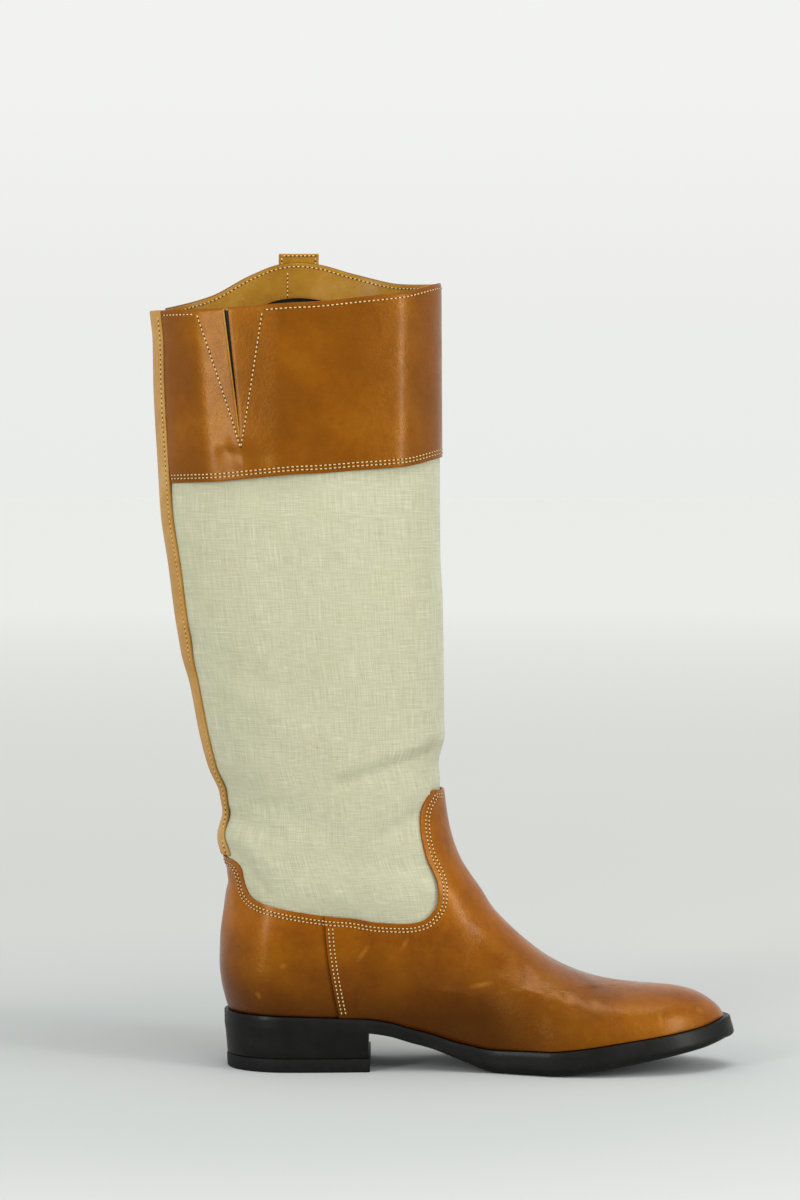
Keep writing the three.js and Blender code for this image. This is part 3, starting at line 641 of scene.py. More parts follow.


# %% [markdown]
# ## Calf leather
# Full-grain calf, dyed cognac and waxed: a warm brown with darker and lighter clouds, fine pores,
# and a soft gloss from the wax, which is the coat. One flat colour would look like plastic. Noise
# gives the clouds, height above the ground gives a painted shade low on the foot, and a short
# table places the few scuffs where they are seen.

# %% Calf leather
# Scuffs on the inner side of the foot: x, z, length in mm, slant in degrees.
foot_scuffs = [
    (-6.5, 58, 5, 15), (36.5, 65, 14, 55), (59, 70, 9, 60), (100, 48, 16, 10), (218, 33, 7, -30),
    (196, 30, 9, -70), (-20, 42, 6, -50),
]


def scuff(tree, place, x, z, length, slant):
    """A soft, broken streak where the dye is rubbed thin."""
    size = (length * mm / 2, 0.06, 0.0018)
    spread = node(tree, "ShaderNodeMapping", {"vector_type": "TEXTURE"}, {
        "Vector": place, "Location": (x * mm, -0.03, z * mm),
        "Rotation": (0, -math.radians(slant), 0), "Scale": size})
    spot = node(tree, "ShaderNodeTexGradient", {"gradient_type": "SPHERICAL"},
                {"Vector": spread.outputs[0]})
    broken = noise(tree, place, 0.0012, 3)
    return times(tree, times(tree, spot.outputs["Fac"], 0.8), broken)


def calf_leather(name, deep, middle, worn, gloss=0.31, painted_low_shade=True):
    """Dyed calf: clouds of dye 30 mm across, wrinkles 9 mm across, pores under a millimetre."""
    material, tree, shader = new_material(
        name, IOR=1.5, Specular_IOR_Level=0.5, Specular_Tint=linear("#f2b254"),
        Coat_Weight=0.1, Coat_Roughness=0.2)
    place = coordinates(tree, "Object")
    clouds = noise(tree, place, 0.030, 4)
    fine = noise(tree, place, 0.004, 5, 0.65)
    dye = ramp(tree, math_node(tree, "ADD", times(tree, clouds, 0.75), times(tree, fine, 0.25)),
               (0.28, deep), (0.52, middle), (0.78, worn))
    if painted_low_shade:  # painted shade darkens the foot low down, all but the toe
        split = node(tree, "ShaderNodeSeparateXYZ", inputs={"Vector": place})
        low = ranged(tree, split.outputs["Z"], 0.030, 0.080, 0.9, 0.0)
        dark = times(tree, low, ranged(tree, split.outputs["X"], 0.10, 0.20, 1.0, 0.1))
        # painted shade: below 80 mm the foot is mixed towards dark brown, less towards the toe
        dye = mixed(tree, dark, dye, linear("#310f00"))
        for x, z, length, slant in foot_scuffs:
            worn_away = scuff(tree, place, x, z, length, slant)
            dye = mixed(tree, worn_away, dye, linear("#9c6a24"))
    scuffs = noise(tree, node(tree, "ShaderNodeMapping", inputs={
        "Vector": place, "Scale": (1.0, 1.0, 0.35), "Rotation": (0, 0.5, 0)}).outputs[0], 0.0022, 2)
    marks = ramp(tree, scuffs, (0.70, "#000000"), (0.76, "#4a4a4a"))
    dye = mixed(tree, marks, dye, linear(worn))
    tree.links.new(dye, shader.inputs["Base Color"])
    rough = ranged(tree, noise(tree, place, 0.012, 4), 0.3, 0.7, gloss - 0.07, gloss + 0.09)
    tree.links.new(rough, shader.inputs["Roughness"])
    # The calf's pores lie 0.5 mm apart. They are drawn at 0.9 mm so that they show.
    pores = node(tree, "ShaderNodeTexVoronoi", {"feature": "DISTANCE_TO_EDGE"},
                 {"Vector": place, "Scale": 1 / 0.0009})
    grain = math_node(tree, "ADD", times(tree, pores.outputs["Distance"], 0.5),
                      noise(tree, place, 0.0016, 3))
    pored = bumped(tree, grain, 0.34, 0.0004)
    wrinkled = bumped(tree, noise(tree, place, 0.009, 3, 0.5), 0.22, 0.0012, Normal=pored)
    tree.links.new(wrinkled, shader.inputs["Normal"])
    return material


foot_calf = calf_leather("cognac calf of the foot", "#5e2c00", "#7f4500", "#935a00")
cuff_calf = calf_leather("cognac calf of the cuff", "#5e3000", "#6e3b00", "#804c04", painted_low_shade=False)
stay_calf = calf_leather("light calf of the back stay", "#8c6428", "#a37a3c", "#b69460", 0.5, False)
facing_calf = calf_leather("tan facing leather", "#7e5512", "#966c22", "#aa8242", 0.55, False)


# %% [markdown]
# ## Plain finishes
# Cut edges, thread, needle holes, lining, sock and rubber are small or lie in shade. A finish of
# its own for each would not be seen, so one shader with two colours of noise and a shallow bump
# serves them all.

# %% Plain finishes: cut edges, thread, lining
def plain_finish(name, deep, light, grain_size, rough, **shader_inputs):
    material, tree, shader = new_material(name, **shader_inputs)
    place = coordinates(tree, "Object")
    grain = noise(tree, place, grain_size, 4)
    tree.links.new(ramp(tree, grain, (0.3, deep), (0.7, light)), shader.inputs["Base Color"])
    shader.inputs["Roughness"].default_value = rough
    tree.links.new(bumped(tree, grain, 0.2, 0.0003), shader.inputs["Normal"])
    return material


cut_edge = plain_finish("inked cut edge of calf", "#3a2006", "#54340f", 0.001, 0.8)
thread = plain_finish("waxed linen thread", "#bf9c5a", "#d9bd82", 0.0008, 0.6)
# painted shade: the depth of each needle hole is drawn as a dark brown bead
painted_hole_shade = plain_finish("needle hole", "#2a1604", "#3a2208", 0.001, 0.9)
lining = plain_finish("black pigskin lining", "#090a07", "#12130f", 0.004, 0.8,
                      Specular_IOR_Level=0.15)
sock = plain_finish("leather sock over the insole", "#5e4220", "#77572c", 0.006, 0.7)


# %% [markdown]
# ## Linen
# The shaft is plain-woven flax in a greyed natural colour, with slubs, faint stains and specks.
# Modelled threads would need millions of faces. Two stretched noises, one along each direction
# of the flat cloth, give the weave instead, and their thickest stretches give the slubs.

# %% Linen
def linen_finish():
    """Plain-woven linen. The threads lie 0.6 mm apart and are drawn at 1 mm so that they show;
    slubs, the thick stretches of a flax thread, are 10 to 40 mm long."""
    material, tree, shader = new_material("natural linen", Roughness=0.92, Sheen_Weight=0.25,
                                          Sheen_Roughness=0.5, Specular_IOR_Level=0.25)
    cloth = coordinates(tree, "UV")  # 1 unit is 100 mm of cloth

    def threads(length, width, detail=2.0):
        spread = node(tree, "ShaderNodeMapping", inputs={
            "Vector": cloth, "Scale": (100 / length, 100 / width, 1.0)})
        made = node(tree, "ShaderNodeTexNoise", inputs={
            "Vector": spread.outputs[0], "Scale": 1.0, "Detail": detail, "Roughness": 0.6})
        return made.outputs["Fac"]

    weft, warp = threads(12, 0.8), threads(0.8, 15)
    weft_slub, warp_slub = threads(24, 1.1, 1.0), threads(1.1, 30, 1.0)
    weave = math_node(tree, "ADD", weft, warp)
    tone = ramp(tree, times(tree, weave, 0.5),
                (0.34, "#9e9d83"), (0.50, "#a9a88e"), (0.66, "#b5b49b"))
    slubs = math_node(tree, "MAXIMUM", weft_slub, warp_slub)
    tone = mixed(tree, ranged(tree, slubs, 0.66, 0.76, 0.0, 0.35), tone, linear("#cccbb2"))
    place = coordinates(tree, "Object")
    stain = ranged(tree, noise(tree, place, 0.045, 3), 0.5, 0.75, 0.0, 0.3)
    tone = mixed(tree, stain, tone, linear("#a3a682"))
    specks = ranged(tree, noise(tree, place, 0.0035, 1), 0.74, 0.80, 0.0, 0.5)
    tone = mixed(tree, specks, tone, linear("#a08f66"))
    tree.links.new(tone, shader.inputs["Base Color"])
    thread_height = math_node(tree, "ADD", weave, times(tree, slubs, 0.6))
    tree.links.new(bumped(tree, thread_height, 0.5, 0.0005), shader.inputs["Normal"])
    return material


linen = linen_finish()


# %% [markdown]
# ## Elastic
# The webbing of the gore is black, and is given ribs that run down it, as such webbing has. It
# shows only through the narrow slit, so a wave across the panel draws them, not geometry.

# %% Elastic
def elastic_finish():
    """Black elastic: ribs 1.2 mm apart, running down the gore."""
    material, tree, shader = new_material("black ribbed elastic", Roughness=0.85)
    cloth = coordinates(tree, "UV")
    ribs = node(tree, "ShaderNodeTexWave", {"bands_direction": "X"}, {
        "Vector": cloth, "Scale": 100 / 1.2 / 6.28, "Distortion": 0.3})
    tree.links.new(ramp(tree, ribs.outputs["Fac"], (0.2, "#0b0b0b"), (0.8, "#2a2a29")),
                   shader.inputs["Base Color"])
    tree.links.new(bumped(tree, ribs.outputs["Fac"], 0.6, 0.0005), shader.inputs["Normal"])
    return material


elastic = elastic_finish()


# %% [markdown]
# ## Inked sole leather
# The edges of sole and heel are trimmed, inked black and polished with wax, and the lifts of the
# heel show as faint lines. A patchy near-black with a thin coat gives the ink. Modelling each
# lift would add faces for marks that hardly show, so a wave in height draws them.

# %% Inked sole leather
def inked_finish(name, stack):
    """Sole leather edge, inked black and waxed. `stack` shows the heel's lifts, 5 mm each."""
    material, tree, shader = new_material(
        name, Specular_IOR_Level=0.14, Coat_Weight=0.06, Coat_Roughness=0.2)
    place = coordinates(tree, "Object")
    patches = noise(tree, place, 0.012, 5, 0.65)
    tree.links.new(ramp(tree, patches, (0.35, "#060705"), (0.6, "#0c0d0a"), (0.85, "#1d1c18")),
                   shader.inputs["Base Color"])
    tree.links.new(ranged(tree, patches, 0.3, 0.7, 0.34, 0.55), shader.inputs["Roughness"])
    height = noise(tree, place, 0.002, 4)
    if stack:
        layers = node(tree, "ShaderNodeTexWave", {"bands_direction": "Z"}, {
            "Vector": place, "Scale": 1 / 0.005 / 6.28, "Distortion": 0.4})
        height = math_node(tree, "ADD", height, times(tree, layers.outputs["Fac"], 0.4))
    tree.links.new(bumped(tree, height, 0.25, 0.0005), shader.inputs["Normal"])
    return material


sole_black = inked_finish("inked sole leather", False)
heel_black = inked_finish("inked stacked heel", True)
lift_rubber = plain_finish("rubber top lift", "#080808", "#121211", 0.003, 0.6,
                           Specular_IOR_Level=0.14)

# %% [markdown]
# ## Foot: counter and vamp
# The counter wraps the heel, and the vamp covers the toes and instep and laps over the counter
# at a seam on each side. Both are laid on the foot surface, split along that seam, and the
# vamp's edge stands 0.9 mm proud of the counter. One skin with a drawn line would lose that step
# and its shadow.

# %% Side seam
seam_places = [(62.5, 31.0), (60.3, 41.7), (57.5, 57.5), (55.8, 72.0), (55.0, 85.0)]
seam_at = curve(table("x z", seam_places), "z", "x")


def seam_turn(rise):
    """The turn at which the inner side's surface meets the side seam."""
    low, high = np.full_like(rise, 0.3), np.full_like(rise, 2.2)
    for _ in range(30):
        middle = (low + high) / 2
        points = foot_surface(middle, rise)
        before = points[:, 0] < seam_at(points[:, 2])
        low, high = np.where(before, middle, low), np.where(before, high, middle)
    return low


seam_samples = np.linspace(0, 1, 80)
seam_turns = seam_turn(seam_samples)


def seam_of(rise):
    return np.interp(rise, seam_samples, seam_turns)


vamp_step = 0.9


def lay_counter(u, v):
    turn = (2 * u - 1) * (seam_of(v) + 0.07)
    points = foot_surface(turn, v)
    under = smooth(-3.0, 2.0, points[:, 0] - seam_at(points[:, 2]))
    return laid(foot_surface, turn, v, -0.15 - 1.1 * under, foot_relief)


def lay_vamp(u, v):
    start = seam_of(v)
    turn = mix(start, 2 * np.pi - start, u)
    points = foot_surface(turn, v)
    past = points[:, 0] - seam_at(points[:, 2])
    return laid(foot_surface, turn, v, vamp_step * (1 - smooth(0, 16, past)), foot_relief)


counter = lay_panel("counter", lay_counter, 130, 70, (190, 80), 1.25, lip=0.3)
finish_piece(counter, "foot_leather", materials=(foot_calf, cut_edge))
vamp = lay_panel("vamp", lay_vamp, 230, 120, (520, 220), 1.3, lip=0.3)
finish_piece(vamp, "foot_leather", "upper", materials=(foot_calf, cut_edge))

# %% [markdown]
# ## Shaft
# The linen is tucked 8 mm under the foot leather and runs up behind the cuff. It carries the
# softest folds of the boot, at the ankle. A cloth simulation would find folds of its own, so the
# table of creases places the ones that are seen.

# %% Linen shaft
linen_face = -1.15


def lay_shaft(u, v):
    turn = 2 * np.pi * u
    sunk = 1.1 * (1 - smooth(0.02, 0.06, v))
    under_cuff = 0.75 * smooth(0.66, 0.72, v)
    return laid(shaft_surface, turn, v, linen_face - sunk - under_cuff, shaft_relief)


shaft = lay_panel("shaft", lay_shaft, 220, 170, (360, 330), 0.9, ring=True)


def weave_straight(piece, reach):
    """UVs that run level round the leg and up it, so that the threads stay straight."""
    mesh = piece.data
    places = np.empty(len(mesh.vertices) * 3, np.float32)
    mesh.vertices.foreach_get("co", places)
    x, y, z = places.reshape(-1, 3).T / mm
    turned = np.arctan2(-(y - axis_at(x + shift[0])), (back_at(z) + front_at(z)) / 2 - x - shift[0])
    corners = np.empty(len(mesh.loops), np.int32)
    mesh.loops.foreach_get("vertex_index", corners)
    cut = np.stack([turned[corners] * reach / 100, z[corners] / 100], -1)
    mesh.uv_layers.active.data.foreach_set("uv", cut.astype(np.float32).ravel())


weave_straight(shaft, 57.0)
finish_piece(shaft, "linen", "shaft", materials=(linen, lining))

# %% [markdown]
# ## Cuff and its slit
# The cuff is a band of calf from one edge of the back stay round to the other. On the inner side
# a slit runs down from the rim, so that the elastic gore behind it can give. One narrow column
# of the panel follows the slit, and its faces are deleted above the slit's lower end. A Boolean
# cut this thin would leave slivers along both edges.

# %% Leg surfaces
stay_rows = table("up wide", [
    (0, 0.8), (0.075, 0.58), (0.13, 0.66), (0.22, 0.77), (0.3, 0.8), (0.41, 0.98), (0.52, 1),
    (0.7, 0.98), (1, 0.96),
])
stay_wide = curve(stay_rows, "up", "wide")
stay_top = float(rim_height(0.0, INNER))


def stay_half(z):
    return stay_width / 2 * stay_wide((z - stay_foot) / (stay_top - stay_foot))


def stay_turn(z, grow):
    return np.arcsin((stay_half(z) + grow) / leg_half(z))


cuff_drop = curve(table("at drop", [(0, 1), (0.5, 0.98), (1, 1.012)]), "at", "drop")


def cuff_foot(at):
    return rim_height(at, INNER) - cuff_height * cuff_drop(at)


gore_x, gore_top, gore_depth, gore_width, gore_back = 11.0, 410.1, 74.0, 36.0, 0.677
gore_point = gore_top - gore_depth
slit_foot, slit_gap = gore_point + 5, 2.6


def slit_x(z):
    return gore_x + (z - gore_point) / gore_depth * gore_width * (0.45 - gore_back)


def turn_of(x, z):
    return np.arccos(np.clip(1 - 2 * depth_share(x, z), -1, 1))


# %% Cuff panel
slit_column = 0.16  # share of the panel's width where the slit's column lies
slit_strip = 0.006


def cuff_place(u, v):
    start = stay_turn(mix(cuff_foot(0.0), stay_top, np.clip(v, 0, 1)), 0.3)
    z_guess = mix(cuff_foot(0.0), rim_height(0.28, INNER), v)
    opening = np.where(z_guess > slit_foot, slit_gap * (z_guess - slit_foot) / gore_depth, 0) + 0.12
    left = turn_of(slit_x(z_guess) - opening / 2, z_guess)
    right = turn_of(slit_x(z_guess) + opening / 2, z_guess)
    far = 2 * np.pi - start
    before = mix(start, left, np.clip(u / slit_column, 0, 1))
    inside = mix(left, right, np.clip((u - slit_column) / slit_strip, 0, 1))
    after_share = np.clip((u - slit_column - slit_strip) / (1 - slit_column - slit_strip), 0, 1)
    after = mix(right, far, after_share)
    turn = np.where(u <= slit_column, before, np.where(u < slit_column + slit_strip, inside, after))
    at = share_at(turn)
    return turn, mix(cuff_foot(at), rim_height(at, side_of(turn)), v)


cuff_columns = 240
slit_first = round(slit_column * cuff_columns)


def lay_cuff(u, v):
    # The grid's even columns are drawn together at the slit.
    column = np.round(u * cuff_columns)
    before = column / slit_first * slit_column
    span = cuff_columns - slit_first - 1
    after_share = (column - slit_first - 1) / span
    after = slit_column + slit_strip + after_share * (1 - slit_column - slit_strip)
    share = np.where(column <= slit_first, before, after)
    turn, z = cuff_place(share, v)
    flap = np.exp(-(((share - slit_column) / 0.02) ** 2)) * smooth(0.3, 1, v)
    lift = 0.25 + 0.5 * flap * np.where(column <= slit_first, 0.2, 1.0)
    rim_roll = -0.5 * smooth(0.975, 1, v)
    return laid(level_surface, turn, z, lift + rim_roll, cuff_relief)


cuff = lay_panel("cuff", lay_cuff, cuff_columns, 60, (370, 95), 0)


# %% Cut the slit and give the cuff its thickness
def cut_slit(piece, columns, rows, column, first_row):
    """Deletes the narrow column's faces from a row up. The grid numbers its faces row by row."""
    pick(piece)
    bpy.ops.object.mode_set(mode="EDIT")
    bpy.ops.mesh.select_all(action="DESELECT")
    shape = bmesh.from_edit_mesh(piece.data)
    shape.faces.ensure_lookup_table()
    for row in range(first_row, rows):
        shape.faces[row * columns + column].select_set(True)
    bmesh.update_edit_mesh(piece.data)
    bpy.ops.mesh.delete(type="FACE")
    bpy.ops.object.mode_set(mode="OBJECT")


grid_rows = len(cuff.data.polygons) // cuff_columns
slit_row = int(grid_rows * (slit_foot - cuff_foot(0.3)) / (rim_height(0.3, INNER) - cuff_foot(0.3)))
cut_slit(cuff, cuff_columns, grid_rows, slit_first, slit_row)
give_substance(cuff, 1.3, 0.3)
finish_piece(cuff, "cuff_leather", "cuff", materials=(cuff_calf, cut_edge))
print("slit from row", slit_row, "of", grid_rows)


# %% [markdown]
# ## Gore
# Behind the slit sits a V of black elastic, so that the collar can stretch. It shows only through
# the slit, so a smooth panel laid just under the cuff is enough, and no folds are modelled.

# %% Gore
def lay_gore(u, v):
    z = mix(gore_point + 3, 409.2, v)
    half = (z - gore_point) / gore_depth * gore_width
    x = gore_x + half * (mix(0.02, 0.98, u) - gore_back)
    return laid(level_surface, turn_of(x, z), z, -1.25 + 0 * u)


gore = lay_panel("gore", lay_gore, 40, 60, (36, 74), 0.7)
finish_piece(gore, "elastic", "gore", materials=(elastic, elastic))


# %% [markdown]
# ## Facing and lining
# Inside the collar a tan facing runs about 20 mm down, and below it the boot is black. They
# could be the back faces of cuff and shaft, but their colours and depths differ, so each is a band
# of its own inside the leg.

# %% Facing and lining
def lay_inside(top_drop, bottom, lift):
    """A band inside the leg, from `top_drop` under the rim down to `bottom` under it."""
    def place(u, v):
        turn = 2 * np.pi * (1 - u)
        c, side = turn_parts(turn)
        rim = rim_height(even_share(c), side)
        return laid(level_surface, turn, mix(rim - bottom, rim - top_drop, v), lift + 0 * u)

    return place


# Depths are measured down from the rim, and lifts out from the last, so inside they are negative.
facing_depth, facing_lift = 20.0, -4.2
lining_top, lining_foot, lining_lift = 19.3, 270.0, -3.7
facing = lay_panel("collar_facing", lay_inside(0.5, facing_depth, facing_lift), 160, 10,
                   (360, 20), 1.0, ring=True, lip=0.25)
finish_piece(facing, "tab_leather", materials=(facing_calf, cut_edge))
leg_lining = lay_panel("leg_lining", lay_inside(lining_top, lining_foot, lining_lift), 160, 60,
                       (360, 250), 0.5, ring=True)
finish_piece(leg_lining, "elastic", materials=(lining, lining))


# %% [markdown]
# ## Back stay
# The back stay is a strip of lighter calf down the back seam, from the rim to the counter. Cut
# out of the shaft's grid it would have ragged edges. Laid by its own width to both sides of the
# back line, its edges stay clean.

# %% Back stay
def stay_surface(u, v):
    z = mix(stay_foot + 0.6, stay_top + 0.2, v)
    y = -stay_half(z) * u
    x = back_at(z) + back_rounding(z) * (1 - np.sqrt(1 - (y / leg_half(z)) ** 2))
    return np.stack([x, y, z], -1)


def lay_stay(u, v):
    u = 2 * u - 1
    points = stay_surface(u, v)
    side = np.where(u > 0, INNER, OUTER)
    push = 1.35 - 0.5 * np.abs(u) ** 6 - 0.6 * (1 - smooth(0, 0.03, v))
    push = push + 0.35 * relief(shaft_relief, points[:, 0], points[:, 2], side)
    return points + normals_of(stay_surface, u, v) * push[:, None] - shift


back_stay = lay_panel("back_stay", lay_stay, 26, 200, (34, 295), 1.6, lip=0.35)
finish_piece(back_stay, "stay_leather", "back_stay", materials=(stay_calf, cut_edge))

# %% [markdown]
# ## Pull tab
# The pull tab is a folded strap on the outer side, sewn down over the cuff. Its two layers are
# pressed flat and sewn together, so one strip as thick as both looks the same as a modelled fold.

# %% Pull tab
tab_middle = float(mix(back_at(boot_height), front_at(boot_height), 0.5))
tab_top = float(rim_height(0.5, OUTER)) + 5
tab_width, tab_length = 22.0, 56.0


def tab_surface(u, v):
    z = mix(tab_top - tab_length, tab_top, v)
    x = tab_middle - tab_width / 2 * u + 0.02 * (z - tab_top)
    return np.stack([x, across(x, z, np.full_like(x, OUTER)), z], -1)


def tab_lift(v):
    """How far the tab's face stands off the last: it rises near the rim."""
    return 2.9 + 0.5 * smooth(0.75, 0.95, v)


def on_tab(u, v, push):
    normals = normals_of(tab_surface, u, v)
    return tab_surface(u, v) + normals * push[:, None] - shift, normals


def lay_tab(u, v):
    u = 2 * u - 1
    push = tab_lift(v) - 0.3 * np.abs(u) ** 8 - 0.5 * smooth(0.97, 1, v)
    return on_tab(u, v, push)[0]


pull_tab = lay_panel("pull_tab", lay_tab, 24, 60, (22, 56), 2.3, lip=0.5)
finish_piece(pull_tab, "tab_leather", "pull_tab", materials=(facing_calf, cut_edge))

# %% [markdown]
# ## Sole and heel
# The outsole follows the line where the upper meets it, grown outwards by its ledge. Its wall is
# a ring of loops, from the top edge round the rounded lower edge, and each end is closed with
# strips from side to side, so that the sole stays straight across. An extruded outline would
# have neither the worn top edge nor the rounded lower one.


# %% Outline of the bottom
def feather_point(turn):
    x = mix(float(back_at(seat_height)), last_length, share_at(turn))
    return np.stack([x, across(x, sole_top(x), side_of(turn))], -1)


def outline(turn, grow):
    step = feather_point(turn + 1e-3) - feather_point(turn - 1e-3)
    step = step / np.linalg.norm(step, axis=-1, keepdims=True)
    return feather_point(turn) + np.stack([step[:, 1], -step[:, 0]], -1) * grow[:, None]


def ledge_at(turn):
    back = mix(heel_ledge, side_ledge, smooth(0.1, 0.5, share_at(turn)))
    return mix(back, toe_ledge, smooth(0.8, 1, share_at(turn)))


def flare_at(turn):
    return toe_flare * smooth(0.6, 1, share_at(turn))


def loop(turns, grow, height):
    plan = outline(turns, grow)
    z = height(np.clip(plan[:, 0], 0, last_length))
    return np.stack([plan[:, 0], plan[:, 1], np.broadcast_to(z, plan[:, 0].shape)], -1) - shift


def loft(name, loops):
    """A grid wrapped into a ring of loops, closed at both ends by strips across."""
    count = len(loops[0])
    piece = bpy.data.objects.new(name, bpy.data.meshes.new(name))
    bpy.context.scene.collection.objects.link(piece)
    pick(piece)
    shape = bmesh.new()
    rings = [[shape.verts.new(point * mm) for point in points] for points in loops]
    for upper, lower in zip(rings[:-1], rings[1:]):
        for i in range(count):
            j = (i + 1) % count
            shape.faces.new((upper[i], lower[i], lower[j], upper[j]))
    for ring, flip in ((rings[0], False), (rings[-1], True)):
        for i in range(count // 2 - 1):
            corners = [ring[i], ring[i + 1], ring[count - 2 - i], ring[count - 1 - i]]
            shape.faces.new(corners[::-1] if flip else corners)
    bmesh.ops.recalc_face_normals(shape, faces=shape.faces)
    shape.to_mesh(piece.data)
    shape.free()
    bpy.ops.object.shade_smooth_by_angle(angle=math.radians(40))
    print(name, count, "points round,", len(loops), "loops")
    return piece


# %% Outsole
sole_turns = (np.arange(240) + 0.5) * 2 * np.pi / 240


def bevel_at(x):
    """The rounding of the sole's lower edge, next to nothing at the heel."""
    return mix(heel_edge_bevel, tread_bevel, sole_bevel(x / last_length))


bevel_turn = bevel_at(last_length * share_at(sole_turns))
side_grow = ledge_at(sole_turns) + flare_at(sole_turns)
upper_grow = ledge_at(sole_turns)

# Loops from the top face, over the worn top edge, down the side and round the lower edge.
sole_loops = [
    loop(sole_turns, upper_grow - 6, sole_top),
    loop(sole_turns, upper_grow - 0.5, sole_top),
    loop(sole_turns, upper_grow - 0.1, lambda x: sole_top(x) - 0.15),
    loop(sole_turns, upper_grow + 0.05, lambda x: sole_top(x) - 0.5),
]
for share, out in ((0.35, 0.35), (0.7, 0.75), (1.0, 1.0)):
    sole_loops.append(loop(
        sole_turns, mix(upper_grow, side_grow, out),
        lambda x, share=share: mix(sole_top(x) - 0.5, sole_bottom(x) + bevel_at(x), share)))
for angle in (25, 50, 70, 90):
    turned = math.radians(angle)
    sole_loops.append(loop(
        sole_turns, side_grow - bevel_turn * (1 - math.cos(turned)),
        lambda x, turned=turned: sole_bottom(x) + bevel_at(x) * (1 - math.sin(turned))))
outsole = loft("outsole_edge", sole_loops)
finish_piece(outsole, "sole", "outsole", materials=(sole_black,))


# %% [markdown]
# ## Heel block and top lift
# The heel is a stack of leather lifts, trimmed to one tapering wall, on a rubber top lift with a
# small step. It could be cut out of a solid block. Loops at falling heights, each ended where the
# heel's front stands, give the taper and the sharp front edge directly.

# %% Heel block and top lift
def breast_turns(grow_of, breast, count=90):
    found = []
    for sign in (-1, 1):
        low, high = 0.0, math.pi
        for _ in range(40):
            middle = np.array([sign * (low + high) / 2])
            if outline(middle, grow_of(middle))[0, 0] < breast:
                low = abs(float(middle[0]))
            else:
                high = abs(float(middle[0]))
        found.append(sign * low)
    return np.linspace(found[0], found[1], count)


def heel_loop(grow_of, height, breast):
    turns = breast_turns(grow_of, breast)
    return loop(turns, grow_of(turns), height)


def heel_grow(share, extra=0.0):
    return lambda turn: ledge_at(turn) - mix(0.35, heel_taper - lift_step, share) + extra


heel_loops = [
    heel_loop(heel_grow(0, 0.36), lambda x: sole_bottom(x) + 0.1, breast_x),
    heel_loop(heel_grow(0, 0.3), lambda x: sole_bottom(x) - 0.6, breast_x),
]
for share in (0.25, 0.5, 0.75, 0.97):
    heel_loops.append(heel_loop(
        heel_grow(share),
        lambda x, share=share: mix(sole_bottom(x) - 0.7, lift_thickness + 0.3, share),
        breast_x - 0.4 * share))
heel_loops.append(heel_loop(
    heel_grow(1, -0.3), lambda x: np.full_like(x, lift_thickness + 0.2), breast_x - 0.6))
heel_block = loft("heel_stack", heel_loops)
finish_piece(heel_block, "heel", "heel_block", materials=(heel_black,))

lift_loops = []
for z, extra, ahead in ((7.5, 0.0, 0.2), (7.2, 0.7, 0.6), (6.5, 0.9, 0.6), (1.0, 0.65, 0.6),
                        (0.35, 0.45, 0.45), (0.0, 0.0, 0.0)):
    lift_loops.append(heel_loop(
        lambda turn, extra=extra: ledge_at(turn) - heel_taper + extra,
        lambda x, z=z: np.full_like(x, z), breast_x + ahead))
top_lift = loft("rubber_lift", lift_loops)
finish_piece(top_lift, "top_lift", "top_lift", materials=(lift_rubber,))

# %% [markdown]
# ## Insole
# A leather sock covers the insole. It lies deep in the leg and is hardly seen, so a low loft of
# four loops with a rounded edge is enough.

# %% Insole
insole_loops = [
    loop(sole_turns, np.full_like(sole_turns, -3.8 - inset),
         lambda x, up=up: sole_top(x) + 0.3 + up)
    for inset, up in ((0.8, 3.0), (0.2, 2.7), (0.0, 2.2), (0.0, 0.0))
]
insole = loft("sock_insole", insole_loops)
finish_piece(insole, "insole", "insole", materials=(sock,))

# %% [markdown]
# ## Stitches
# Two rows of cream thread hold the topline, the cuff's lower edge and each side seam, and one
# row runs round the rim, down both sides of the V and along the stay. One stitch is modelled as
# a small bead and copied along lines beside the edges, with a dark bead before each whose colour
# is the painted shade of its needle hole.
# Painted dashes would be cheaper, but beads catch the light and cast their own small shadows.


# %% Stitch helpers
def bead(length, radius, segments=8, rings=5):
    deselect()
    bpy.ops.mesh.primitive_uv_sphere_add(segments=segments, ring_count=rings, radius=1)
    made = bpy.context.object
    corners = np.array([tuple(v.co) for v in made.data.vertices])
    faces = [tuple(p.vertices) for p in made.data.polygons]
    bpy.data.objects.remove(made)
    swelled = np.sign(corners[:, 2]) * np.abs(corners[:, 2]) ** 0.7
    shaped = np.stack([swelled * length / 2, corners[:, 0] * radius,
                       corners[:, 1] * radius * 0.7], -1)
    return shaped, faces


class Seam:
    """Collects beads for one joined mesh."""

    def __init__(self, name):
        self.name, self.points, self.faces, self.total = name, [], [], 0

    def add(self, shape, centre, along, normal):
        corners, faces = shape
        beside_it = np.cross(normal, along)
        basis = np.stack([along, beside_it, normal])
        self.points.append(corners @ basis + centre)
        self.faces += [tuple(i + self.total for i in face) for face in faces]
        self.total += len(corners)

    def make(self, slot, material):
        deselect()
        mesh = bpy.data.meshes.new(self.name)
        mesh.from_pydata((np.concatenate(self.points) * mm).tolist(), [], self.faces)
        piece = bpy.data.objects.new(self.name, mesh)
        bpy.context.scene.collection.objects.link(piece)
        mesh.polygons.foreach_set("use_smooth", [True] * len(mesh.polygons))
        print(self.name, len(mesh.polygons), "faces")
        return finish_piece(piece, slot, materials=(material,))


threads, holes = Seam("stitches"), Seam("needle_holes")
foot_pitch, cuff_pitch, strap_pitch, inner_pitch = 2.2, 2.5, 2.6, 2.3  # mm from stitch to stitch


